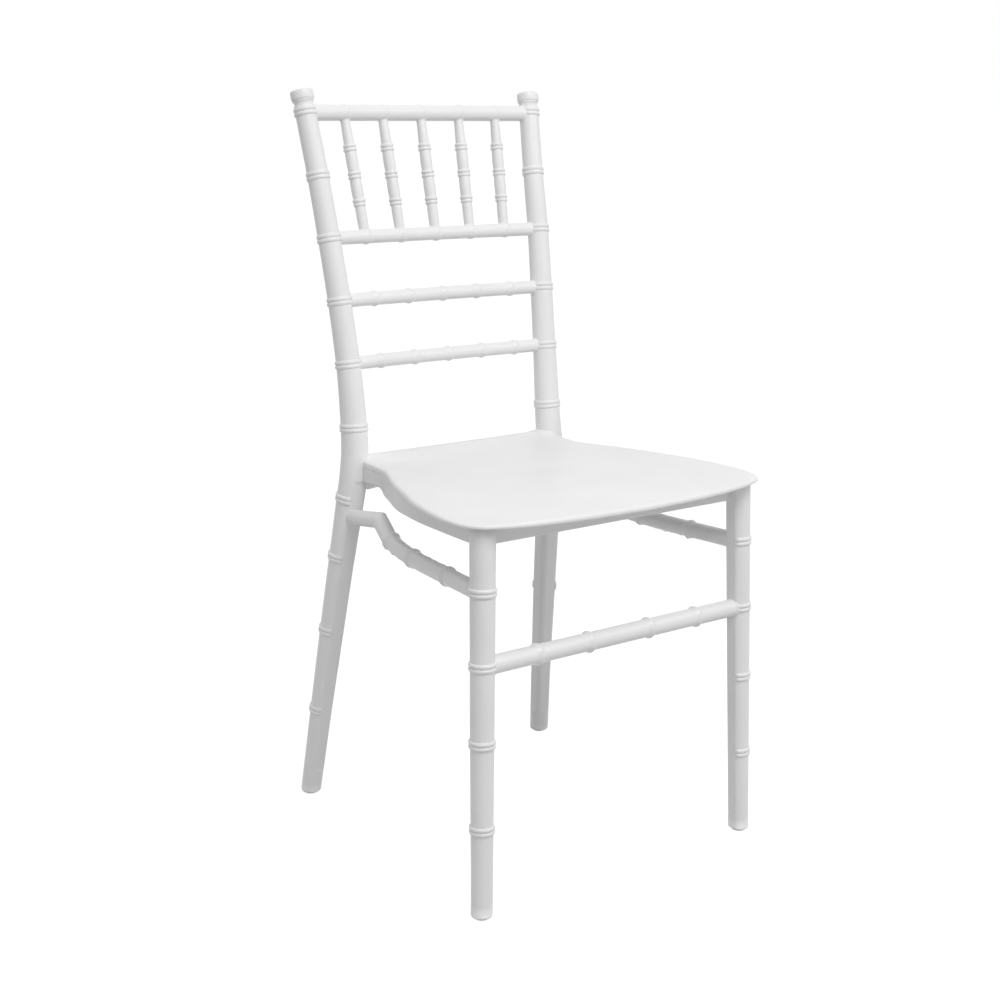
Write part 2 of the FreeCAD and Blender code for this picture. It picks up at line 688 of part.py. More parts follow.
# Blanks, and slightly fuller copies that other members are scribed to.
post = rear_post_blank()
leg = front_leg_blank()
post_fit = rear_post_blank(FIT)
leg_fit = front_leg_blank(FIT)
post = rounded_foot(post, REAR_STATIONS, REAR_FOOT_ROUNDING)
leg = rounded_foot(leg, FRONT_STATIONS, FRONT_FOOT_ROUNDING)
leg = leg.cut(half_space(V(0, 0, SEAT_LIP_Z), V(0, 0, 1), 900.0))

post_curve = station_curve(REAR_STATIONS)
post_cuts = []
leg_cuts = []

# Back rails, each with a tenon in both posts.
rails = {}
rail_curves = {}
for name in RAILS:
    height, radius, bands, band_rise, reach, tenon_radius = RAILS[name]
    axis = post_curve.value(height)
    curve = rail_arc(axis.x, axis.y, height)
    bar = swept_bar(curve, radius)
    for x in bands:
        for place in sorted({-x, x}):
            spot, way = arc_at(curve, place)
            bar = bar.fuse(band_ring(spot, way, radius, band_rise))
    bar = bar.cut([post_fit, mirrored(post_fit)])
    bar = max(bar.Solids, key=lambda s: s.Volume)
    end = curve.value(curve.LastParameter)
    way = unit(curve.tangent(curve.LastParameter)[0])
    tenon, socket = tenon_pair(end - way * 22, end + way * reach, tenon_radius)
    rails[name] = bar.fuse([tenon, mirrored(tenon)])
    rail_curves[name] = curve
    post_cuts.append(socket)

# Spindles, each with a tenon in the rail below and the rail above.
low_height, low_radius = RAILS["spindle_rail"][:2]
high_height, high_radius = RAILS["top_rail"][:2]
high_solid = swept_bar(rail_curves["top_rail"], high_radius + FIT)
spindles = []
for low_x, high_x in SPINDLES_X:
    foot, foot_way = arc_at(rail_curves["spindle_rail"], low_x)
    head, head_way = arc_at(rail_curves["top_rail"], high_x)
    way = unit(head.sub(foot))
    body = spindle_body(foot, head)
    body = body.cut([rails["spindle_rail"], rails["top_rail"], high_solid])
    body = max(body.Solids, key=lambda s: s.Volume)
    low_end = foot + way * (low_radius - SPINDLE_TENON_DEPTH)
    high_end = head - way * (high_radius - SPINDLE_TENON_DEPTH)
    middle = (foot + head) * 0.5
    low_tenon, low_socket = tenon_pair(middle, low_end, SPINDLE_TENON_RADIUS)
    high_tenon, high_socket = tenon_pair(middle, high_end, SPINDLE_TENON_RADIUS)
    spindles.append(body.fuse([low_tenon, high_tenon]))
    rails["spindle_rail"] = rails["spindle_rail"].cut(low_socket)
    rails["top_rail"] = rails["top_rail"].cut(high_socket)

# Finial on the post's top.
top_centre = post_curve.value(REAR_TOP)
top_way = unit(post_curve.tangent(REAR_TOP)[0])
cap, cap_hole = finial(top_centre, top_way)
post_cuts.append(cap_hole)

# Foot glides.
rear_glide, rear_glide_hole = glide(REAR_STATIONS)
front_glide, front_glide_hole = glide(FRONT_STATIONS)
post_cuts.append(rear_glide_hole)
leg_cuts.append(front_glide_hole)

# Side and front stretchers.
side_bar, rear_socket, front_socket = side_stretcher()
post_cuts.append(rear_socket)
leg_cuts.append(front_socket)
leg_curve = station_curve(FRONT_STATIONS)
cross_end = leg_curve.value(FRONT_STRETCHER_Z)
cross_start = V(-cross_end.x, cross_end.y, cross_end.z)
across = V(1, 0, 0)
cross_bar = rod(cross_start, cross_end, FRONT_STRETCHER_RADIUS)
for x in FRONT_STRETCHER_BANDS:
    cross_bar = cross_bar.fuse(band_ring(V(x, cross_end.y, cross_end.z), across,
                                         FRONT_STRETCHER_RADIUS, BAND_RISE + 0.2))
cross_bar = trimmed_to_flat(cross_bar, FRONT_STATIONS, FRONT_STRETCHER_Z, 1, True)
cross_bar = trimmed_to_flat(mirrored(cross_bar), FRONT_STATIONS, FRONT_STRETCHER_Z, 1, True)
cross_tenon, cross_socket = tenon_pair(cross_end - across * 24, cross_end + across * 3, 5.5)
cross_bar = cross_bar.fuse([cross_tenon, mirrored(cross_tenon)])
leg_cuts.append(cross_socket)

# Seat and its hidden bolts.
seat = seat_shell(post_fit, leg_fit)
inward = V(-1, 0, 0)
rear_bolt, rear_bolt_hole = bolt(V(REAR_BOLT_TIP_X, REAR_BOLT_Y, REAR_BOLT_Z),
                                 V(BRACKET_INNER_X, REAR_BOLT_Y, REAR_BOLT_Z), inward)
leg_axis = leg_curve.value(FRONT_BOLT_Z)
corner_way = unit(V(-1, 1, 0))
front_bolt, front_bolt_hole = bolt(leg_axis + corner_way * FRONT_BOLT_TIP,
                                   leg_axis + corner_way * FRONT_BOLT_REACH, corner_way)
post_cuts.append(rear_bolt_hole)
leg_cuts.append(front_bolt_hole)
seat = seat.cut([rear_bolt_hole, mirrored(rear_bolt_hole),
                 front_bolt_hole, mirrored(front_bolt_hole)])

post = post.cut(post_cuts)
leg = leg.cut(leg_cuts)

save("rear_post_right", post)
save("rear_post_left", mirrored(post))
save("front_leg_right", leg)
save("front_leg_left", mirrored(leg))
save("finial_right", cap)
save("finial_left", mirrored(cap))
save("foot_glide_rear_right", rear_glide)
save("foot_glide_rear_left", mirrored(rear_glide))
save("foot_glide_front_right", front_glide)
save("foot_glide_front_left", mirrored(front_glide))
save("side_stretcher_right", side_bar)
save("side_stretcher_left", mirrored(side_bar))
save("front_stretcher", cross_bar)
save("seat_shell", seat)
save("rear_seat_bolts", Part.makeCompound([rear_bolt, mirrored(rear_bolt)]))
save("front_leg_bolts", Part.makeCompound([front_bolt, mirrored(front_bolt)]))
for name in rails:
    save(name, rails[name])
for number in range(len(spindles)):
    save("spindle_" + str(number + 1), spindles[number])
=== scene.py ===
import bmesh
import bpy
import math
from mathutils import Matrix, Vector
from mathutils.geometry import intersect_point_line


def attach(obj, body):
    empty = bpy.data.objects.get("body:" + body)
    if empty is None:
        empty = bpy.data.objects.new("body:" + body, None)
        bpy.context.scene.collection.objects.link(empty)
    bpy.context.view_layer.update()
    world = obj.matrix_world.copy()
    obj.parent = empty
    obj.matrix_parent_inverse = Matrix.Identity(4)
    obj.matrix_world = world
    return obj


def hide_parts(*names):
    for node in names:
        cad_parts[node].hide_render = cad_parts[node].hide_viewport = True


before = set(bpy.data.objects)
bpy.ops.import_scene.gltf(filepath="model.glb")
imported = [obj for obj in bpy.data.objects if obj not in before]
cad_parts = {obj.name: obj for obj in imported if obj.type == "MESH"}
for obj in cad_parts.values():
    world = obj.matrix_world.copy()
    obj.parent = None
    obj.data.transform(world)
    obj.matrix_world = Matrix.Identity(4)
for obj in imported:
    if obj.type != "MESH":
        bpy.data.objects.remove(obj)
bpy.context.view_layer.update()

# Rear posts: rear leg and back post in one moulding of white polypropylene,
# bolted to the seat. Below the seat it is round outside with two flats inside,
# where its rings stop; above the seat it is round and the rings go all round.
MM = 0.001
SIDES = ((1, "right"), (-1, "left"))


def hex_linear(code):
    """Turn an sRGB hex colour into linear light."""
    parts = [int(code[i:i + 2], 16) / 255 for i in (1, 3, 5)]
    linear = [p / 12.92 if p <= 0.04045 else ((p + 0.055) / 1.055) ** 2.4 for p in parts]
    return (*linear, 1.0)


def add_node(tree, kind, settings=None, links=None):
    """Add one node, set its inputs or properties, and link its inputs."""
    node = tree.nodes.new(kind)
    for key, value in (settings or {}).items():
        if key in node.inputs:
            node.inputs[key].default_value = value
        else:
            setattr(node, key, value)
    for key, source in (links or {}).items():
        tree.links.new(source, node.inputs[key])
    return node


# Injection-moulded polypropylene, polished mould: a clean white with a soft
# satin shine. Its skin has a faint orange peel, drawn at 2.5 mm so that it
# shows, and the flow of the melt leaves barely seen lighter and darker areas.
PP_IOR = 1.49
PP_WHITE = "#F4F4F4"
PP_FLOW = "#ECECEC"
FLOW_MM = 70.0
FLOW_GLOSSIER = 0.04
FLOW_DULLER = 0.05
ORANGE_PEEL_MM = 2.5
MEMBER_ROUGHNESS = 0.33
MEMBER_PEEL_HEIGHT_MM = 0.05


def moulded_polypropylene(name, roughness, peel_height):
    """White polypropylene with its flow marks and its orange peel."""
    mat = bpy.data.materials.new(name)
    mat.use_nodes = True
    tree = mat.node_tree
    shader = tree.nodes["Principled BSDF"]
    shader.inputs["IOR"].default_value = PP_IOR
    place = add_node(tree, "ShaderNodeTexCoord").outputs["Object"]
    flow = add_node(tree, "ShaderNodeTexNoise",
                    {"Scale": 1000 / FLOW_MM, "Detail": 2.0, "Roughness": 0.4},
                    {"Vector": place}).outputs["Fac"]
    tint = add_node(tree, "ShaderNodeMix",
                    {"data_type": "RGBA", "A": hex_linear(PP_WHITE), "B": hex_linear(PP_FLOW)},
                    {"Factor": flow})
    tree.links.new(tint.outputs["Result"], shader.inputs["Base Color"])
    gloss = add_node(tree, "ShaderNodeMapRange",
                     {"From Min": 0.3, "From Max": 0.7, "To Min": roughness - FLOW_GLOSSIER,
                      "To Max": roughness + FLOW_DULLER}, {"Value": flow})
    tree.links.new(gloss.outputs["Result"], shader.inputs["Roughness"])
    peel = add_node(tree, "ShaderNodeTexNoise",
                    {"Scale": 1000 / ORANGE_PEEL_MM, "Detail": 1.0}, {"Vector": place})
    bump = add_node(tree, "ShaderNodeBump", {"Strength": 0.35, "Distance": peel_height * MM},
                    {"Height": peel.outputs["Fac"]})
    tree.links.new(bump.outputs["Normal"], shader.inputs["Normal"])
    return mat


member_plastic = moulded_polypropylene("moulded_polypropylene_members", MEMBER_ROUGHNESS,
                                       MEMBER_PEEL_HEIGHT_MM)

# Height, half spacing, depth position and radius, all in millimetres.
POST_STATIONS = [
    (0.0, 189.0, 218.0, 13.0), (103.0, 180.7, 203.0, 13.8), (221.0, 171.2, 184.2, 15.2),
    (318.0, 163.4, 168.0, 16.1), (396.0, 157.1, 154.0, 17.2), (440.0, 152.5, 148.6, 17.4),
    (474.0, 149.6, 149.4, 16.9), (525.0, 149.3, 153.7, 16.0), (575.0, 150.3, 159.7, 15.1),
    (651.0, 153.6, 171.6, 14.4), (726.0, 158.0, 185.8, 13.7), (800.0, 161.8, 202.4, 13.15),
    (883.0, 167.8, 221.3, 12.6),
]
# Heights of the rings that stop at the flats, and of those that go all round.
POST_RINGS_BELOW = [121.0, 232.0, 332.0, 409.0]
POST_RINGS_ABOVE = [497.7, 575.2, 651.3, 726.4, 800.4, 876.0]
POST_TOP = 883.0
POST_SPACING = 9.0

# The soles stand on the glides. The leg starts above its rounded edge.
FOOT_LEVEL = 1.5
FOOT_ROWS = 6
FOOT_CLEARANCE = 0.6
POST_FOOT_ROUNDING = 3.6

# A flat starts at a slanted step above the foot and fades out under the seat.
POST_FLAT_LOW = 40.0
POST_FLAT_HIGH = 434.0
STEP_SLANT = Vector((-0.45, -0.45, 1.0)).normalized()
STEP_FADE = 1.6
STEP_REACH = 14
FLAT_FADE = 4.0
FLAT_FADE_ROWS = [425, 428, 430, 432, 434, 436]

# Each ring is two beads with a groove between. Steps across it run from its
# middle. A ring that stops at the flats stands out a little more.
BEAD_RADIUS = 2.5
RING_STEPS = [0.0, 0.3, 0.8, 1.5, 2.5, 3.5, 4.2, 4.7, 5.0, 5.4]
RING_CLEARANCE = 1.5
RING_RISE = 1.6
HALF_RING_RISE = 1.9

# Distance of the flats from the leg's axis, and the radius of the corner where
# they meet, as shares of the leg's radius.
FLAT_SHARE = 0.87
CORNER_SHARE = 0.5

# Angles round a leg: 0 faces the chair's middle line and 90 the other flat.
FLAT_EDGE = math.degrees(math.acos(FLAT_SHARE))
EDGE_MARGIN = 0.5
LEG_ANGLES = ([-FLAT_EDGE, -26, -14, 0, 12, 19, 23, 28, 33, 39, 45, 51, 57, 62, 67, 71, 78, 90,
               104, 116, 90 + FLAT_EDGE] + [122 + 7.1 * i for i in range(29)])


def at_height(stations, z):
    """Smooth centre and radius of a leg at one height."""
    i = 0
    while i < len(stations) - 2 and z > stations[i + 1][0]:
        i += 1
    low, high = stations[i], stations[i + 1]
    before = stations[max(i - 1, 0)]
    after = stations[min(i + 2, len(stations) - 1)]
    span = high[0] - low[0]
    t = (z - low[0]) / span
    values = []
    for k in (1, 2, 3):
        slope_low = (high[k] - before[k]) / (high[0] - before[0]) * span
        slope_high = (after[k] - low[k]) / (after[0] - low[0]) * span
        values.append((2 * t ** 3 - 3 * t ** 2 + 1) * low[k] + (t ** 3 - 2 * t ** 2 + t) * slope_low
                      + (3 * t ** 2 - 2 * t ** 3) * high[k] + (t ** 3 - t ** 2) * slope_high)
    return Vector((values[0], values[1], z)), values[2]


def lean(stations, z):
    """Direction of a leg's axis at one height."""
    return (at_height(stations, z + 1)[0] - at_height(stations, z - 1)[0]).normalized()


def smooth(t):
    """Ease from 0 to 1 as t goes from 0 to 1."""
    t = min(max(t, 0.0), 1.0)
    return t * t * (3 - 2 * t)


def bead(s, rise):
    """Height of the double bead at a distance s from the ring's middle."""
    reach = 1 - ((abs(s) - BEAD_RADIUS) / BEAD_RADIUS) ** 2
    return rise * math.sqrt(reach) if reach > 0 else 0.0


def signed(angle):
    """The same angle, between -180 and 180 degrees."""
    return (angle + 180) % 360 - 180


def flatted(angle, share_flat):
    """Section radius at an angle, as a share of the leg's radius."""
    angle = signed(angle)
    if angle < -FLAT_EDGE or angle > 90 + FLAT_EDGE:
        return 1.0
    turn = math.radians(angle)
    near = FLAT_SHARE - CORNER_SHARE
    limit = math.degrees(math.atan2(near, FLAT_SHARE))
    if angle < limit:
        r = FLAT_SHARE / math.cos(turn)
    elif angle > 90 - limit:
        r = FLAT_SHARE / math.sin(turn)
    else:
        along = near * (math.cos(turn) + math.sin(turn))
        r = along + math.sqrt(along ** 2 - 2 * near ** 2 + CORNER_SHARE ** 2)
    return 1.0 + (r - 1.0) * share_flat


def evenly(start, spacing, count):
    """A count of places at an even spacing."""
    return [start + spacing * i for i in range(count)]


def places_along(marks, steps, low, high, spacing, extra, clearance):
    """Places from low to high: an even spacing, and fine steps at each mark."""
    places = {low, high}
    spot = low
    while spot < high:
        if all(abs(spot - mark) > steps[-1] + clearance for mark in marks):
            places.add(round(spot, 3))
        spot += spacing
    for mark in marks:
        for step in steps:
            places.update((round(mark - step, 3), round(mark + step, 3)))
    places.update(extra)
    return sorted(p for p in places if low <= p <= high)


def leg_loops(stations, heights, facing, rings_round, rings_outside, flat_high, step=None):
    """Loops of a leg; facing gives the Y direction of the second flat."""
    loops = []
    for z in heights:
        centre, radius = at_height(stations, z)
        way = lean(stations, z)
        inward = Vector((-1, 0, 0))
        inward = (inward - way * inward.dot(way)).normalized()
        other = way.cross(inward)
        if other.y * facing < 0:
            other = -other
        loop = []
        for angle in LEG_ANGLES:
            turn = math.radians(angle)
            out = inward * math.cos(turn) + other * math.sin(turn)
            share = smooth((flat_high - z) / FLAT_FADE)
            if step:
                point, slant = step
                share = min(share, smooth((centre + out * radius - point).dot(slant) / STEP_FADE))
            r = radius * flatted(angle, share)
            r += sum(bead(z - ring, RING_RISE) for ring in rings_round)
            if not -FLAT_EDGE - EDGE_MARGIN <= signed(angle) <= 90 + FLAT_EDGE + EDGE_MARGIN:
                r += sum(bead(z - ring, HALF_RING_RISE) for ring in rings_outside)
            loop.append(centre + out * r)
        loops.append(loop)
    if facing > 0:
        loops = [list(reversed(loop)) for loop in loops]
    return loops


def foot_end(loops, stations, rounding):
    """Start a leg with a flat sole and a rounded edge."""
    centre, radius = at_height(stations, FOOT_LEVEL)
    rows = []
    for k in range(FOOT_ROWS + 1):
        turn = math.radians(90 * k / FOOT_ROWS)
        scale = (radius - rounding + rounding * math.sin(turn)) / radius
        lift = rounding * (1 - math.cos(turn))
        rows.append([Vector((centre.x + (p.x - centre.x) * scale,
                             centre.y + (p.y - centre.y) * scale, FOOT_LEVEL + lift))
                     for p in loops[0]])
    return rows + loops


def mesh_piece(name, loops, material, side=1):
    """Skin a row of closed loops, in millimetres, and cap both its ends."""
    n = len(loops[0])
    verts = [(p[0] * side * MM, p[1] * MM, p[2] * MM) for loop in loops for p in loop]
    faces = []
    for i in range(len(loops) - 1):
        a, b = i * n, (i + 1) * n
        for j in range(n):
            k = (j + 1) % n
            faces.append((a + j, a + k, b + k, b + j))
    faces.append(tuple(reversed(range(n))))
    faces.append(tuple(range(len(verts) - n, len(verts))))
    if side < 0:
        faces = [tuple(reversed(face)) for face in faces]
    mesh = bpy.data.meshes.new(name)
    mesh.from_pydata(verts, [], faces)
    mesh.validate()
    for poly in mesh.polygons:
        poly.use_smooth = len(poly.vertices) == 4
    mesh.materials.append(material)
    piece = bpy.data.objects.new(name, mesh)
    bpy.context.collection.objects.link(piece)
    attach(piece, "root")
    return piece


step_rows = evenly(POST_FLAT_LOW - STEP_REACH, 1.2, 25)
post_heights = places_along(POST_RINGS_BELOW + POST_RINGS_ABOVE, RING_STEPS,
                            FOOT_LEVEL + POST_FOOT_ROUNDING + FOOT_CLEARANCE, POST_TOP,
                            POST_SPACING, step_rows + FLAT_FADE_ROWS, RING_CLEARANCE)
post_loops = leg_loops(POST_STATIONS, post_heights, -1, POST_RINGS_ABOVE, POST_RINGS_BELOW,
                       POST_FLAT_HIGH, (at_height(POST_STATIONS, POST_FLAT_LOW)[0], STEP_SLANT))
post_loops = foot_end(post_loops, POST_STATIONS, POST_FOOT_ROUNDING)
for side, name in SIDES:
    post = mesh_piece("rear_post_" + name + "_moulding", post_loops, member_plastic, side)
    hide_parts("rear_post_" + name)

# Front legs: tapered mouldings of the same plastic, thicker at the seat and
# bolted into its corners. One flat faces the chair's middle and one the back,
# and both cut off the rings.
FRONT_STATIONS = [
    (0.0, 196.3, -192.3, 12.25), (90.0, 194.1, -190.0, 12.75), (180.0, 192.0, -187.6, 13.25),
    (260.0, 190.1, -185.6, 13.7), (340.0, 188.1, -183.5, 14.0), (449.0, 185.6, -180.8, 14.5),
]
FRONT_RINGS = [105.2, 204.3, 292.5, 375.5]
FRONT_FOOT_ROUNDING = 2.6
FRONT_TOP = 448.5
FRONT_SPACING = 12.0
# This lies far above the leg, so its flats run up the whole length.
FRONT_FLAT_HIGH = 900.0
front_heights = places_along(FRONT_RINGS, RING_STEPS,
                             FOOT_LEVEL + FRONT_FOOT_ROUNDING + FOOT_CLEARANCE, FRONT_TOP,
                             FRONT_SPACING, [], RING_CLEARANCE)
front_loops = leg_loops(FRONT_STATIONS, front_heights, 1, [], FRONT_RINGS, FRONT_FLAT_HIGH)
front_loops = foot_end(front_loops, FRONT_STATIONS, FRONT_FOOT_ROUNDING)
for side, name in SIDES:
    leg = mesh_piece("front_leg_" + name + "_moulding", front_loops, member_plastic, side)
    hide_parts("front_leg_" + name)

# Back rails: four round bars of the same plastic, bowed a little to the rear,
# with tenons glued into the posts. Flared bands with a fine groove stand where
# a turned rail would have its rings.
RAIL_BOW = 6.0
# Height, radius, places of the bands and how far they rise.
RAILS = {
    "top_rail": (875.0, 9.75, [0.0, 57.0, 112.7], 0.8),
    "spindle_rail": (726.4, 8.5, [0.0, 52.5, 105.0], 1.2),
    "upper_ladder_rail": (651.4, 8.5, [0.0, 51.7, 103.5], 1.5),
    "lower_ladder_rail": (575.4, 8.4, [0.0, 51.0, 102.0], 1.5),
}

# Half section of a band. Steps across it run from its middle.
BAND_HALF_WIDTH = 7.0
BAND_SHARPNESS = 1.4
BAND_STEPS = [0.0, 0.25, 0.55, 0.85, 1.4, 2.4, 3.6, 4.9, 6.1, 7.0]
BAND_CLEARANCE = 1.0
GROOVE_DEPTH = 0.7
GROOVE_HALF_WIDTH = 0.55
BAR_SIDES = 40
BAR_SPACING = 8.0

# The loops of a bar are set out from its top, or from its front where it
# stands steeper than this.
STEEP_WAY = 0.8
# A bar's mesh ends inside the leg, this far before the leg's axis.
BAR_END = 4.0
# A small fillet takes a bar into what it meets. Its last rise is cut off.
JOINT_FILLET = 1.6
FILLET_LIMIT = 0.98


def band(s, rise):
    """Flared band with a fine groove at a distance s from its middle."""
    s = abs(s)
    if s > BAND_HALF_WIDTH:
        return 0.0
    flare = rise * (1 - smooth(s / BAND_HALF_WIDTH)) ** BAND_SHARPNESS
    return flare - GROOVE_DEPTH * max(0.0, 1 - s / GROOVE_HALF_WIDTH)


def bar_loops(path, radius_at, swell_at, gap_at):
    """Round bar along path points, which each come with a place along the bar.

    Its radius and the swell of its bands go by the place. The gap from a point
    to the skin of what the bar meets says where the fillet rises.
    """
    loops = []
    for i, (point, place) in enumerate(path):
        ahead = path[min(i + 1, len(path) - 1)][0]
        behind = path[max(i - 1, 0)][0]
        way = (ahead - behind).normalized()
        up = Vector((0, 0, 1)) if abs(way.z) < STEEP_WAY else Vector((0, -1, 0))
        across = way.cross(up).normalized()
        up = across.cross(way)
        loop = []
        for j in range(BAR_SIDES):
            turn = 2 * math.pi * j / BAR_SIDES
            out = across * math.cos(turn) + up * math.sin(turn)
            spot = point + out * (radius_at(place) + swell_at(place))
            gap = gap_at(spot)
            if gap < JOINT_FILLET:
                t = min(1 - max(gap, 0.0) / JOINT_FILLET, FILLET_LIMIT)
                spot = spot + out * JOINT_FILLET * (1 - math.sqrt(1 - t ** 2))
            loop.append(spot)
        loops.append(loop)
    return loops


def post_gap(spot):
    """Distance from a point to the nearer rear post's skin."""
    centre, radius = at_height(POST_STATIONS, spot.z)
    way = lean(POST_STATIONS, spot.z)
    away = Vector((abs(spot.x), spot.y, spot.z)) - centre
    return (away - way * away.dot(way)).length - radius


def rail_point(name, x):
    """Point on a rail's bowed axis."""
    height = RAILS[name][0]
    centre = at_height(POST_STATIONS, height)[0]
    return Vector((x, centre.y + RAIL_BOW * (1 - (x / centre.x) ** 2), height))


for name, (height, radius, bands, band_rise) in RAILS.items():
    post_centre, post_radius = at_height(POST_STATIONS, height)
    reach = post_centre.x - BAR_END
    all_bands = sorted({-b for b in bands} | set(bands))
    # Fine rows where the fillet rises to the post.
    near_joint = evenly(post_centre.x - post_radius - 4.5, 0.5, 16)
    xs = places_along(all_bands, BAND_STEPS, -reach, reach, BAR_SPACING,
                      near_joint + [-x for x in near_joint], BAND_CLEARANCE)
    loops = bar_loops([(rail_point(name, x), x) for x in xs], lambda x: radius,
                      lambda x: sum(band(x - b, band_rise) for b in all_bands), post_gap)
    rail = mesh_piece(name + "_moulding", loops, member_plastic)
    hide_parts(name)

# Spindles: five short bars of the same plastic, with tenons glued into the top
# rail and the spindle rail. Each has three double-bead rings, and swells
# between them.
SPINDLE_END = 2.0
SPINDLE_SPACING = 3.0
# Distance of a spindle's foot and head from the chair's middle.
SPINDLES = [(-105.0, -112.7), (-52.5, -57.0), (0.0, 0.0), (52.5, 57.0), (105.0, 112.7)]

# Places of the rings, as shares of the length, and steps across a ring, which
# is narrower than a post's ring.
SPINDLE_RINGS = [0.272, 0.494, 0.716]
SPINDLE_STEPS = [0.0, 0.3, 0.8, 1.5, 2.3, 3.1, 3.8, 4.3, 4.6, 5.0]
SPINDLE_RING_RISE = 1.6
SPINDLE_RING_SQUEEZE = 1.1

# Radius at the foot and beside the rings, and what the swells add or take.
FOOT_RADIUS = 6.3
FOOT_SWELL = 0.35
FOOT_PLAIN = 8
RING_WAIST = 6.5
BELLY_SWELL = 0.9
BELLY_FULLNESS = 0.8
NECK_TAPER = 0.8
NECK_PLAIN = 5.0


def spindle_radius(s, rings, length):
    """Slim at the ends, swelling to a belly between the rings."""
    if s < rings[0]:
        share = max(s - FOOT_PLAIN, 0) / (rings[0] - FOOT_PLAIN)
        return FOOT_RADIUS + FOOT_SWELL * math.sin(math.pi * share)
    if s > rings[2]:
        share = (s - rings[2]) / (length - NECK_PLAIN - rings[2])
        return RING_WAIST - NECK_TAPER * smooth(share)
    low, high = rings[:2] if s < rings[1] else rings[1:]
    share = (s - low) / (high - low)
    return RING_WAIST + BELLY_SWELL * math.sin(math.pi * share) ** BELLY_FULLNESS


def rail_gap(spot):
    """Distance from a point to the skin of the nearer of the two rails."""
    gaps = []
    for name in ("spindle_rail", "top_rail"):
        centre = rail_point(name, spot.x)
        gaps.append(math.hypot(spot.y - centre.y, spot.z - centre.z) - RAILS[name][1])
    return min(gaps)


for number, (foot_x, head_x) in enumerate(SPINDLES, 1):
    foot = rail_point("spindle_rail", foot_x)
    head = rail_point("top_rail", head_x)
    length = (head - foot).length
    rings = [length * share for share in SPINDLE_RINGS]
    # Fine rows where the fillets rise to the two rails.
    joint_rows = (evenly(RAILS["spindle_rail"][1] - 1.5, 0.4, 14)
                  + evenly(length - RAILS["top_rail"][1] + 1.5, -0.4, 14))
    places = places_along(rings, SPINDLE_STEPS, SPINDLE_END, length - SPINDLE_END,
                          SPINDLE_SPACING, joint_rows, BAND_CLEARANCE)
    loops = bar_loops(
        [(foot + (head - foot) * (s / length), s) for s in places],
        lambda s: spindle_radius(s, rings, length),
        lambda s: sum(bead((s - r) * SPINDLE_RING_SQUEEZE, SPINDLE_RING_RISE) for r in rings),
        rail_gap)
    node = "spindle_" + str(number)
    spindle = mesh_piece(node + "_moulding", loops, member_plastic)
    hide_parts(node)

# Finials: a flared plastic cap, pinned and glued into the top of each post. It
# has a short neck, a cone with a fine groove, and a thick disc with rounded
# edges and a faintly domed top.
FINIAL_SIDES = 56
# Radius and height above the post's top.
FINIAL_PROFILE = [
    (11.3, -1.0), (11.3, 0.4), (11.3, 1.4), (11.45, 2.4), (11.8, 3.6), (12.4, 4.8), (13.1, 5.8),
    (13.25, 6.1), (13.1, 6.4), (12.85, 6.7), (12.85, 6.9), (13.2, 7.15), (13.6, 7.4), (13.95, 7.9),
    (14.1, 8.6), (14.2, 9.6), (14.2, 12.0), (14.2, 14.8), (14.1, 16.2), (13.8, 17.3),
    (13.2, 18.1), (12.3, 18.6), (11.1, 18.85), (9.0, 19.0), (6.0, 19.1), (3.0, 19.18), (0.8, 19.2),
]
top_centre = at_height(POST_STATIONS, POST_TOP)[0]
top_way = lean(POST_STATIONS, POST_TOP - 1)
across = Vector((1, 0, 0)).cross(top_way).normalized()
beside = top_way.cross(across)
turns = [2 * math.pi * j / FINIAL_SIDES for j in range(FINIAL_SIDES)]
cap_loops = [[top_centre + top_way * rise + across * (r * math.cos(turn))
              + beside * (r * math.sin(turn)) for turn in reversed(turns)]
             for r, rise in FINIAL_PROFILE]
for side, name in SIDES:
    cap = mesh_piece("finial_" + name + "_cap", cap_loops, member_plastic, side)
    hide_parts("finial_" + name)

# Side stretchers: one bent bar of the same plastic on each side, with tenons
# glued into the legs. It leaves the rear leg as a short stub, turns down at a
# mitred elbow, then swoops level into the front leg.
STUB_START = Vector((157.5, 154.0, 384.4))
STUB_RADIUS = 9.8
STUB_ROWS = 40
ELBOW = Vector((165.4, 65.0, 399.3))
ELBOW_ROWS = 4
# Depth and height of points along the swoop.
SWOOP = [(48.0, 387.4), (35.0, 380.6), (15.0, 376.2), (-9.0, 373.6), (-45.0, 372.4),
         (-110.0, 372.6), (-182.6, 373.2)]
SWOOP_END_X = 187.3
SWOOP_RADIUS = 10.0
SWOOP_SPACING = 6.0
SWOOP_FIRST_Y = 44.0
SIDE_BANDS = [35.0, -21.0, -105.0]
SIDE_BAND_RISE = 1.9

slope = (SWOOP_END_X - ELBOW.x) / (SWOOP[-1][0] - ELBOW.y)
swoop_points = [ELBOW] + [Vector((ELBOW.x + slope * (y - ELBOW.y), y, z)) for y, z in SWOOP]


def swoop_at(y):
    """Smooth point of the swoop, found as for a leg but by depth, not height."""
    rows = [(-p.y, p.x, p.z, 0.0) for p in swoop_points]
    spot = at_height(rows, -y)[0]
    return Vector((spot.x, y, spot.y))


def leg_gap(spot):
    """Distance from a point to the front leg's skin, with its flats."""
    centre, radius = at_height(FRONT_STATIONS, spot.z)
    inner = (centre.x - abs(spot.x)) - FLAT_SHARE * radius
    back = (spot.y - centre.y) - FLAT_SHARE * radius
    if inner < 0:
        return back
    return min(inner, back) if back > 0 else inner


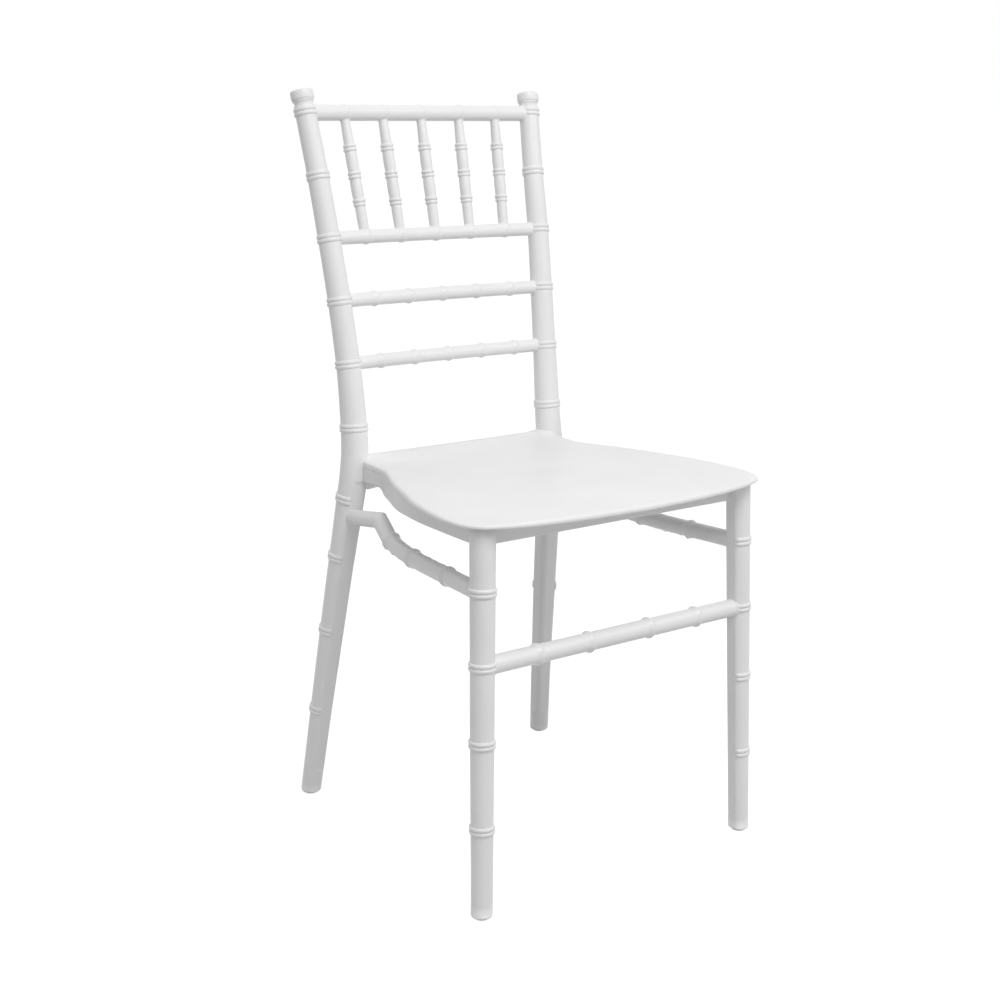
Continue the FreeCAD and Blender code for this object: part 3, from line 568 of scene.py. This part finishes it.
# Fine rows where the fillet rises to the front leg.
near_leg = evenly(164.0, 0.6, 12)
depths = places_along([-b for b in SIDE_BANDS], BAND_STEPS, -SWOOP_FIRST_Y, -SWOOP[-1][0],
                      SWOOP_SPACING, near_leg, BAND_CLEARANCE)
swoop_path = [(swoop_at(-depth), -depth) for depth in depths]
swoop_loops = bar_loops(swoop_path, lambda y: SWOOP_RADIUS,
                        lambda y: sum(band(y - b, SIDE_BAND_RISE) for b in SIDE_BANDS), leg_gap)

# The swoop's first loop is run back to the mitre, where both bars share a loop.
stub_way = (ELBOW - STUB_START).normalized()
first_way = (swoop_points[1] - ELBOW).normalized()
mitre = (stub_way + first_way).normalized()
mitre_loop = []
for p in swoop_loops[0]:
    offset = p - swoop_path[0][0]
    start = ELBOW + (offset - first_way * offset.dot(first_way))
    mitre_loop.append(start - first_way * ((start - ELBOW).dot(mitre) / first_way.dot(mitre)))

# The stub's loops are square to it at the rear leg, and slant to the mitre.
stub_length = (ELBOW - STUB_START).length
stub_loops = []
for k in range(STUB_ROWS):
    t = k / STUB_ROWS
    radius = STUB_RADIUS + (SWOOP_RADIUS - STUB_RADIUS) * t
    loop = []
    for p in mitre_loop:
        offset = p - ELBOW
        square = offset - stub_way * offset.dot(stub_way)
        grown = square.normalized() * (radius + (square.length - SWOOP_RADIUS) * t)
        spot = STUB_START + stub_way * stub_length * t + grown
        spot = spot + stub_way * offset.dot(stub_way) * smooth((t - 0.5) / 0.5)
        gap = post_gap(spot)
        if 0 < gap < JOINT_FILLET:
            spot = spot + square.normalized() * JOINT_FILLET * (1 - gap / JOINT_FILLET) ** 2
        loop.append(spot)
    stub_loops.append(loop)
elbow_loops = [[a.lerp(b, k / ELBOW_ROWS) for a, b in zip(mitre_loop, swoop_loops[0])]
               for k in range(1, ELBOW_ROWS)]
side_loops = stub_loops + [mitre_loop] + elbow_loops + swoop_loops
for side, name in SIDES:
    bar = mesh_piece("side_stretcher_" + name + "_moulding", side_loops, member_plastic, side)
    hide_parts("side_stretcher_" + name)

# Front stretcher: a straight round bar of the same plastic, with tenons glued
# into the front legs at the height of their second ring from the top. Four
# flared bands with fine grooves divide it.
STRETCHER_Z = 291.5
STRETCHER_RADIUS = 10.7
STRETCHER_BANDS = [-117.0, -44.0, 44.0, 117.0]
STRETCHER_BAND_RISE = 2.1
leg_centre, leg_radius = at_height(FRONT_STATIONS, STRETCHER_Z)
reach = leg_centre.x - BAR_END
joint = leg_centre.x - FLAT_SHARE * leg_radius
# Fine rows where the fillet rises to the leg's flat.
near_joint = evenly(joint - 4.0, 0.5, 12)
xs = places_along(STRETCHER_BANDS, BAND_STEPS, -reach, reach, BAR_SPACING,
                  near_joint + [-x for x in near_joint], BAND_CLEARANCE)
loops = bar_loops([(Vector((x, leg_centre.y, STRETCHER_Z)), x) for x in xs],
                  lambda x: STRETCHER_RADIUS,
                  lambda x: sum(band(x - b, STRETCHER_BAND_RISE) for b in STRETCHER_BANDS),
                  lambda spot: joint - abs(spot.x))
bar = mesh_piece("front_stretcher_moulding", loops, member_plastic)
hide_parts("front_stretcher")

# Seat: one thin moulding of the same plastic with a faintly crowned top and a
# rolled lip. Under it are a set-back skirt, ribs, and brackets and corner
# blocks that the posts and front legs are bolted to.
SEAT_ROUGHNESS = 0.40
SEAT_PEEL_HEIGHT_MM = 0.06
seat_plastic = moulded_polypropylene("moulded_polypropylene_seat", SEAT_ROUGHNESS,
                                     SEAT_PEEL_HEIGHT_MM)

# Outline of the lip on one side, back to front: half width and depth.
SEAT_SIDE = [
    (134.0, 164.0), (142.5, 147.0), (149.6, 128.0), (149.3, 104.0), (151.0, 82.0), (159.0, 59.0),
    (169.0, 36.0), (181.0, 5.0), (194.5, -38.0), (204.5, -68.0), (211.0, -101.0),
    (215.3, -137.0), (215.8, -159.0), (212.3, -181.0), (204.0, -195.0), (190.0, -205.5),
    (151.0, -219.5), (83.0, -231.5), (0.0, -236.9),
]
STEPS_PER_SPAN = 6
BACK_STEPS = 30
CROWN_TOP = 459.2
CROWN_Y = -30.0
CROWN_RADIUS = 6000.0

# The back edge turns up: a slope through this depth and height takes over
# from the crown, blended where their heights differ little.
RISE_START = (105.0, 456.4)
RISE_SLOPE = 0.0547
RISE_BLEND = 1.2

# A collar rises to each post on its inner side, with a wide low rise round it.
# The limit cuts off the collar's last and steepest part.
COLLAR_LEVEL = 458.0
COLLAR_RISE = 6.0
COLLAR_WIDTH = 10.0
COLLAR_LIMIT = 0.985
COLLAR_EDGE_X = 149.0
COLLAR_EDGE_FADE = 7
APRON_RISE = 0.9
APRON_WIDTH = 48

# Rolled edge: share of its height, inset, and inset beside the bracket, where
# the lip gives way to a plain face.
LIP_BOTTOM = 448.5
LIP_PROFILE = [
    (0.0, 3.2, 0.3), (0.01, 2.0, 0.3), (0.06, 1.1, 0.3), (0.16, 0.55, 0.3), (0.31, 0.3, 0.3),
    (0.49, 0.3, 0.3), (0.66, 0.6, 0.35), (0.81, 1.35, 0.6), (0.93, 2.5, 1.2), (1.0, 4.4, 2.4),
]
BRACKET_X = 138
BRACKET_START_Y = 84
BRACKET_FADE = 14


def curve_through(points, per_span):
    """Smooth line through outline points, a few steps for each span."""
    line = []
    for i in range(len(points) - 1):
        p0 = points[max(i - 1, 0)]
        p1, p2 = points[i], points[i + 1]
        p3 = points[min(i + 2, len(points) - 1)]
        for k in range(per_span):
            t = k / per_span
            line.append(tuple(
                0.5 * (2 * b + (c - a) * t + (2 * a - 5 * b + 4 * c - d) * t * t
                       + (3 * b - a - 3 * c + d) * t ** 3)
                for a, b, c, d in zip(p0, p1, p2, p3)))
    line.append(points[-1])
    return line


def whole_outline(side_line, back_steps):
    """Close a side line with its mirror image and a straight back edge."""
    last_x, last_y = side_line[0]
    left = [(-x, y) for x, y in reversed(side_line[:-1])]
    back = [(-last_x + 2 * last_x * k / back_steps, last_y) for k in range(1, back_steps)]
    return side_line + left + back


def inset_outline(outline, insets):
    """Move points of an outline inwards by one inset or by one for each."""
    moved = []
    n = len(outline)
    for i in range(n):
        ax, ay = outline[i - 1]
        bx, by = outline[(i + 1) % n]
        length = math.hypot(bx - ax, by - ay) or 1.0
        dx, dy = (bx - ax) / length, (by - ay) / length
        x, y = outline[i]
        inset = insets[i] if isinstance(insets, list) else insets
        moved.append((x + dy * inset, y - dx * inset))
    return moved


def seat_top(x, y):
    """Height of the seat's crowned top, with its rise at the back and posts."""
    crown = CROWN_TOP - (x * x + (y - CROWN_Y) ** 2) / (2 * CROWN_RADIUS)
    slope = RISE_START[1] + (y - RISE_START[0]) * RISE_SLOPE
    z = (crown + slope + math.hypot(crown - slope, RISE_BLEND)) / 2
    centre, radius = at_height(POST_STATIONS, COLLAR_LEVEL)
    gap = max(math.hypot(abs(x) - centre.x, y - centre.y) - radius, 0.0)
    inside = smooth((COLLAR_EDGE_X - abs(x)) / COLLAR_EDGE_FADE)
    near = min(1 - min(gap / COLLAR_WIDTH, 1.0), COLLAR_LIMIT)
    z += COLLAR_RISE * (1 - math.sqrt(1 - near ** 2)) * inside
    return z + APRON_RISE * smooth(1 - gap / APRON_WIDTH) * inside


seat_line = whole_outline(curve_through(SEAT_SIDE, STEPS_PER_SPAN), BACK_STEPS)
bracket_share = [smooth((y - BRACKET_START_Y) / BRACKET_FADE) if abs(x) > BRACKET_X else 0.0
                 for x, y in seat_line]
shell = bmesh.new()


def lip_outline(inset, inset_bracket):
    """Outline of the lip at one level, with its own inset by the brackets."""
    return inset_outline(seat_line, [inset * (1 - w) + inset_bracket * w for w in bracket_share])


def add_loop(points):
    """Put a loop of points, in millimetres, into the seat's mesh."""
    return [shell.verts.new((x * MM, y * MM, z * MM)) for x, y, z in points]


def skin_loops(loops):
    """Skin loops that have the same number of points."""
    for low, high in zip(loops, loops[1:]):
        for j in range(len(low)):
            shell.faces.new((low[j - 1], low[j], high[j], high[j - 1]))


lip_top = [seat_top(x, y) for x, y in lip_outline(*LIP_PROFILE[-1][1:])]
lip_loops = []
for share, inset, inset_bracket in LIP_PROFILE:
    lip_loops.append(add_loop([(x, y, LIP_BOTTOM + (top - LIP_BOTTOM) * share)
                               for (x, y), top in zip(lip_outline(inset, inset_bracket), lip_top)]))
skin_loops(lip_loops)


def cut_grid(faces, low, high, step):
    """Cut faces along a square grid and give back all the cells."""
    for axis in (0, 1):
        way = [0.0, 0.0, 0.0]
        way[axis] = 1.0
        spot = low[axis]
        while spot <= high[axis]:
            parts = {part for face in faces for part in (face, *face.edges, *face.verts)}
            cut = bmesh.ops.bisect_plane(shell, geom=list(parts), dist=1e-7,
                                         plane_co=[spot * MM * w for w in way], plane_no=way)
            faces = [part for part in cut["geom"] if isinstance(part, bmesh.types.BMFace)]
            spot += step
    return faces


# The crowned middle is cut into cells, finer round the posts, then raised. The
# fine grid starts off the coarse one, so that no two cuts fall together.
SEAT_CELL = 10.0
GRID_LOW, GRID_HIGH = (-210.0, -230.0), (210.0, 164.0)
COLLAR_CELL = 2.5
COLLAR_X, COLLAR_Y = (104.0, 149.0), 98.0
OFF_GRID_X, OFF_GRID_Y = 0.7, 1.2
cells = cut_grid([shell.faces.new(lip_loops[-1])], GRID_LOW, GRID_HIGH, SEAT_CELL)
for side in (1, -1):
    low_x, high_x = sorted(x * side for x in COLLAR_X)
    corner = set()
    for face in cells:
        middle = face.calc_center_median() / MM
        if low_x < middle.x < high_x and middle.y > COLLAR_Y:
            corner.add(face)
    cells = ([face for face in cells if face not in corner]
             + cut_grid(corner, (low_x + OFF_GRID_X, COLLAR_Y + OFF_GRID_Y),
                        (high_x, GRID_HIGH[1]), COLLAR_CELL))
for vert in {vert for face in cells for vert in face.verts} - set(lip_loops[-1]):
    vert.co.z = seat_top(vert.co.x / MM, vert.co.y / MM) * MM

# Skirt: outer face on one side, back to front: half width and depth.
SKIRT_SIDE = [
    (131.0, 160.0), (141.0, 150.0), (149.3, 128.0), (149.0, 104.0), (150.0, 86.0), (159.0, 59.0),
    (177.0, 9.0), (183.5, -24.0), (188.3, -64.0), (190.5, -125.0), (190.5, -168.0),
    (187.0, -179.5), (176.0, -181.0), (100.0, -181.0), (0.0, -181.0),
]
SKIRT_LOW = 425.0
SKIRT_WALL = 3.5
POCKET_TOP = 452.1

# Beside the bracket the skirt's lower edge arches up to this height.
BRACKET_SKIN = 432.0
ARCH_X = 136
ARCH_START_Y = 77
ARCH_LENGTH = 22

# A small fillet takes the skirt's outer face into the underside of the lip:
# inset and drop. Where the lip hardly stands out, the skirt runs straight up
# into it instead.
SKIRT_FILLET = ((-3.0, 0.0), (-1.5, -0.2), (-0.6, -1.0), (-0.15, -2.3), (0.0, -4.5))
FILLET_OVERHANG = 3.4
FILLET_FADE = 3.0
LIP_HIDDEN_RISE = 2.5

# Rounded lower edge of the skirt, from outside to inside: inset and rise.
SKIRT_EDGE = ((0.0, 3.0), (0.0, 1.4), (0.4, 0.4), (1.4, 0.0), (SKIRT_WALL - 1.2, 0.0),
              (SKIRT_WALL - 0.35, 0.35), (SKIRT_WALL, 1.2), (SKIRT_WALL, 3.0))


def skirt_low(x, y):
    """Lower edge of the skirt, which arches up beside the bracket."""
    if abs(x) < ARCH_X:
        return SKIRT_LOW
    share = min(max((y - ARCH_START_Y) / ARCH_LENGTH, 0.0), 1.0)
    return SKIRT_LOW + (BRACKET_SKIN - SKIRT_LOW) * math.sin(share * math.pi / 2)


def overhang(x, y):
    """Distance by which the lip stands out beyond a point of the skirt."""
    spot = Vector((x, y))
    nearest = math.inf
    for a, b in zip(seat_line, seat_line[1:] + seat_line[:1]):
        share = intersect_point_line(spot, Vector(a), Vector(b))[1]
        foot = Vector(a).lerp(Vector(b), min(max(share, 0.0), 1.0))
        nearest = min(nearest, (spot - foot).length)
    return nearest


skirt_line = whole_outline(curve_through(SKIRT_SIDE, STEPS_PER_SPAN), BACK_STEPS)
fillet_share = [smooth((overhang(x, y) - FILLET_OVERHANG) / FILLET_FADE) for x, y in skirt_line]
skirt_loops = []
for step, (inset, drop) in enumerate(SKIRT_FILLET):
    edge = inset_outline(skirt_line, [inset * w for w in fillet_share])
    hidden = LIP_HIDDEN_RISE * (1 - step / (len(SKIRT_FILLET) - 1))
    skirt_loops.append(add_loop([(x, y, LIP_BOTTOM + drop + hidden * (1 - w))
                                 for (x, y), w in zip(edge, fillet_share)]))
for inset, rise in SKIRT_EDGE:
    edge = inset_outline(skirt_line, inset)
    skirt_loops.append(add_loop([(x, y, skirt_low(*outer) + rise)
                                 for (x, y), outer in zip(edge, skirt_line)]))
skirt_loops.append(add_loop([(x, y, POCKET_TOP)
                             for x, y in inset_outline(skirt_line, SKIRT_WALL)]))
skin_loops(skirt_loops)
ceiling = shell.faces.new(skirt_loops[-1])
under_edges = [shell.edges.get((loop[j - 1], loop[j]))
               for loop in (lip_loops[0], skirt_loops[0]) for j in range(len(loop))]
bmesh.ops.bridge_loops(shell, edges=under_edges)
bmesh.ops.recalc_face_normals(shell, faces=shell.faces)
for face in shell.faces:
    face.smooth = face is not ceiling
seat_mesh = bpy.data.meshes.new("seat_shell_moulding")
shell.to_mesh(seat_mesh)
shell.free()
seat_mesh.materials.append(seat_plastic)
seat = bpy.data.objects.new("seat_shell_moulding", seat_mesh)
bpy.context.collection.objects.link(seat)
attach(seat, "root")
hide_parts("seat_shell")

# Blocks under the seat take the bolts, one in each bracket and one in each
# front corner. Their upper ends are sunk into the shell.
BLOCK_TOP = POCKET_TOP + 0.5
# Softened lower edge, from the side to the underside: inset and rise.
BLOCK_EDGE = ((0.0, 0.8), (0.25, 0.25), (0.8, 0.0))
# Points along the bracket lie closer together where its underside arches.
BRACKET_LOW = 422.0
BRACKET_ARCH_Y = 132
BRACKET_DEPTHS = [90, 100, 108, 111, 114, 118, 122, 126, 130, 134, 138, 146, 155]
BRACKET_OUTER_X = 145.0
BRACKET_INNER_X = 112.0
# Seen from above, with a slanted face square to the leg's bolt.
CORNER_OUTLINE = [(188.5, -150.0), (188.0, -178.5), (150.0, -179.0), (150.0, -165.9),
                  (165.9, -150.0)]


def block(name, outline, low_at):
    """Upright block under the seat with a softened lower edge."""
    rows = []
    for inset, rise in reversed(BLOCK_EDGE):
        rows.append([(x, y, low_at(*outer) + rise)
                     for (x, y), outer in zip(inset_outline(outline, inset), outline)])
    rows.append([(x, y, BLOCK_TOP) for x, y in outline])
    for side, word in SIDES:
        part = mesh_piece(name + "_" + word, rows, seat_plastic, side)
        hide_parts("seat_shell")


def bracket_low(x, y):
    """Arched underside of the block that is bolted to the post."""
    share = min(max((BRACKET_ARCH_Y - y) / ARCH_LENGTH, 0.0), 1.0)
    return BRACKET_LOW + (BRACKET_SKIN - BRACKET_LOW) * (1 - math.cos(share * math.pi / 2))


block("seat_bracket_block", [(BRACKET_OUTER_X, y) for y in reversed(BRACKET_DEPTHS)]
      + [(BRACKET_INNER_X, y) for y in BRACKET_DEPTHS], bracket_low)
block("seat_corner_block", CORNER_OUTLINE, lambda x, y: SKIRT_LOW)

# Four thin ribs stiffen the underside, two each way. Each is given by its ends.
RIBS = {
    "seat_rib_left": ((-62.0, -178.0), (-62.0, 157.0)),
    "seat_rib_right": ((62.0, -178.0), (62.0, 157.0)),
    "seat_rib_front": ((-186.0, -85.0), (186.0, -85.0)),
    "seat_rib_rear": ((-157.0, 55.0), (157.0, 55.0)),
}
# Half thickness and height of a rib, which is a little thicker at its top.
RIB_SECTION = ((0.5, 434.0), (1.0, 434.3), (1.2, 435.0), (1.5, POCKET_TOP + 0.4))
for name, ((ax, ay), (bx, by)) in RIBS.items():
    runs_back = ax == bx
    px, py = (1.0, 0.0) if runs_back else (0.0, 1.0)
    rows = []
    for half, z in RIB_SECTION:
        row = [(ax - px * half, ay - py * half, z), (bx - px * half, by - py * half, z),
               (bx + px * half, by + py * half, z), (ax + px * half, ay + py * half, z)]
        rows.append(list(reversed(row)) if runs_back else row)
    rib = mesh_piece(name, rows, seat_plastic)
    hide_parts("seat_shell")

# Foot glides: nylon discs with a pin pressed into each leg. The plain matt
# mould leaves an even dull skin, a little greyer than the legs, scuffed by
# floors. The CAD solids stay; only their finish is made here.
NYLON_IOR = 1.53
NYLON = "#E2E2DF"
NYLON_SCUFFED = "#C9C8C3"
NYLON_ROUGHNESS = (0.55, 0.75)
SCUFF_MM = 3.0
SCUFF_DEPTH_MM = 0.06
glide_nylon = bpy.data.materials.new("moulded_nylon_glide")
glide_nylon.use_nodes = True
tree = glide_nylon.node_tree
shader = tree.nodes["Principled BSDF"]
shader.inputs["IOR"].default_value = NYLON_IOR
place = add_node(tree, "ShaderNodeTexCoord").outputs["Object"]
scuffs = add_node(tree, "ShaderNodeTexNoise", {"Scale": 1000 / SCUFF_MM, "Detail": 4.0},
                  {"Vector": place}).outputs["Fac"]
worn = add_node(tree, "ShaderNodeMapRange", {"From Min": 0.5, "From Max": 0.75},
                {"Value": scuffs})
tint = add_node(tree, "ShaderNodeMix",
                {"data_type": "RGBA", "A": hex_linear(NYLON), "B": hex_linear(NYLON_SCUFFED)},
                {"Factor": worn.outputs["Result"]})
tree.links.new(tint.outputs["Result"], shader.inputs["Base Color"])
dull = add_node(tree, "ShaderNodeMapRange",
                {"To Min": NYLON_ROUGHNESS[0], "To Max": NYLON_ROUGHNESS[1]}, {"Value": scuffs})
tree.links.new(dull.outputs["Result"], shader.inputs["Roughness"])
bump = add_node(tree, "ShaderNodeBump", {"Strength": 0.4, "Distance": SCUFF_DEPTH_MM * MM},
                {"Height": scuffs})
tree.links.new(bump.outputs["Normal"], shader.inputs["Normal"])
for name in ("rear_left", "rear_right", "front_left", "front_right"):
    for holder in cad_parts["foot_glide_" + name].material_slots:
        holder.material = glide_nylon

# Bolts of zinc-plated steel hold the seat to the posts and front legs, in
# its brackets and corner blocks. The plating is bright, slightly blue and
# faintly mottled. The CAD solids stay here too.
ZINC = "#B9BDC2"
ZINC_SPANGLE = "#A2A6AB"
ZINC_ROUGHNESS = (0.28, 0.45)
SPANGLE_MM = 1.2
zinc_steel = bpy.data.materials.new("zinc_plated_steel")
zinc_steel.use_nodes = True
tree = zinc_steel.node_tree
shader = tree.nodes["Principled BSDF"]
shader.inputs["Metallic"].default_value = 1.0
place = add_node(tree, "ShaderNodeTexCoord").outputs["Object"]
spangle = add_node(tree, "ShaderNodeTexNoise", {"Scale": 1000 / SPANGLE_MM, "Detail": 2.0},
                   {"Vector": place}).outputs["Fac"]
tint = add_node(tree, "ShaderNodeMix",
                {"data_type": "RGBA", "A": hex_linear(ZINC), "B": hex_linear(ZINC_SPANGLE)},
                {"Factor": spangle})
tree.links.new(tint.outputs["Result"], shader.inputs["Base Color"])
satin = add_node(tree, "ShaderNodeMapRange",
                 {"To Min": ZINC_ROUGHNESS[0], "To Max": ZINC_ROUGHNESS[1]}, {"Value": spangle})
tree.links.new(satin.outputs["Result"], shader.inputs["Roughness"])
for name in ("rear_seat_bolts", "front_leg_bolts"):
    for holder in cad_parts[name].material_slots:
        holder.material = zinc_steel

# Studio: a plain floor with no seen edge, a soft light high in front, and
# weaker ones from the front right and behind. Only rays from the camera and
# from shiny or clear surfaces find the floor and the surround white.
FLOOR_SPREAD = 40.0
floor_mesh = bpy.data.meshes.new("studio_floor")
floor_mesh.from_pydata([(-FLOOR_SPREAD, -FLOOR_SPREAD, 0), (FLOOR_SPREAD, -FLOOR_SPREAD, 0),
                        (FLOOR_SPREAD, FLOOR_SPREAD, 0), (-FLOOR_SPREAD, FLOOR_SPREAD, 0)],
                       [], [(0, 1, 2, 3)])
floor = bpy.data.objects.new("studio_floor", floor_mesh)
bpy.context.collection.objects.link(floor)


def seen_rays(tree):
    """1 for rays that the camera, a shiny or a clear surface sends out."""
    ray = add_node(tree, "ShaderNodeLightPath")
    seen = add_node(tree, "ShaderNodeMath", {"operation": "MAXIMUM"},
                    {0: ray.outputs["Is Camera Ray"], 1: ray.outputs["Is Glossy Ray"]})
    return add_node(tree, "ShaderNodeMath", {"operation": "MAXIMUM"},
                    {0: seen.outputs[0], 1: ray.outputs["Is Transmission Ray"]}).outputs[0]


# Matt studio paper: seen, it glows to near white and keeps the chair's shadow;
# for other rays it is a plain light grey that throws soft light upwards.
PAPER_GREY = "#C4C4C4"
PAPER_SHADE = "#959595"
PAPER_GLOW = 0.9
paper = bpy.data.materials.new("matt_studio_paper")
paper.use_nodes = True
tree = paper.node_tree
tree.nodes.clear()
sheet = add_node(tree, "ShaderNodeBsdfDiffuse", {"Color": hex_linear(PAPER_GREY)})
glow = add_node(tree, "ShaderNodeEmission", {"Color": (1, 1, 1, 1), "Strength": PAPER_GLOW})
shade = add_node(tree, "ShaderNodeBsdfDiffuse", {"Color": hex_linear(PAPER_SHADE)})
both = add_node(tree, "ShaderNodeAddShader", None, {0: glow.outputs[0], 1: shade.outputs[0]})
blend = add_node(tree, "ShaderNodeMixShader", None,
                 {0: seen_rays(tree), 1: sheet.outputs[0], 2: both.outputs[0]})
add_node(tree, "ShaderNodeOutputMaterial", None, {0: blend.outputs[0]})
floor_mesh.materials.append(paper)

# Place in metres, width in metres and power in watts; all face the chair.
CHAIR_MIDDLE = Vector((0.0, 0.0, 0.45))
for name, place, width, power in (
        ("main_softbox", (-0.3, -1.6, 2.6), 1.2, 31.0),
        ("right_softbox", (1.75, -2.3, 2.4), 1.4, 13.0),
        ("rear_softbox", (-0.3, 1.6, 2.6), 1.2, 5.0)):
    lamp = bpy.data.lights.new(name, "AREA")
    lamp.shape = "SQUARE"
    lamp.size = width
    lamp.energy = power
    holder = bpy.data.objects.new(name, lamp)
    holder.location = place
    holder.rotation_euler = (CHAIR_MIDDLE - Vector(place)).to_track_quat("-Z", "Y").to_euler()
    bpy.context.collection.objects.link(holder)

# The surround fills the shadows with a weaker white than it shows.
FILL_LIGHT = 0.48
world = bpy.data.worlds.new("white_surround")
bpy.context.scene.world = world
world.use_nodes = True
tree = world.node_tree
tree.nodes.clear()
fill = add_node(tree, "ShaderNodeBackground", {"Color": (1, 1, 1, 1), "Strength": FILL_LIGHT})
shown = add_node(tree, "ShaderNodeBackground", {"Color": (1, 1, 1, 1), "Strength": 1.0})
blend = add_node(tree, "ShaderNodeMixShader", None,
                 {0: seen_rays(tree), 1: fill.outputs[0], 2: shown.outputs[0]})
add_node(tree, "ShaderNodeOutputWorld", None, {0: blend.outputs[0]})

bpy.context.scene.view_settings.view_transform = "Standard"

# The camera stands where the photograph was taken from, in front and to the
# sitter's right, at about the height of the top rail.
AZIMUTH, ELEVATION = math.radians(-35.3), math.radians(13.57)
lens = bpy.data.cameras.new("camera")
lens.lens = 56.0
lens.sensor_width = 36.0
lens.clip_end = 100.0
camera = bpy.data.objects.new("camera", lens)
back = Vector((math.sin(AZIMUTH) * math.cos(ELEVATION), -math.cos(AZIMUTH) * math.cos(ELEVATION),
               math.sin(ELEVATION)))
camera.location = (-1.093, -1.494, 0.861)
camera.rotation_euler = (-back).to_track_quat("-Z", "Y").to_euler()
bpy.context.collection.objects.link(camera)
bpy.context.scene.camera = camera
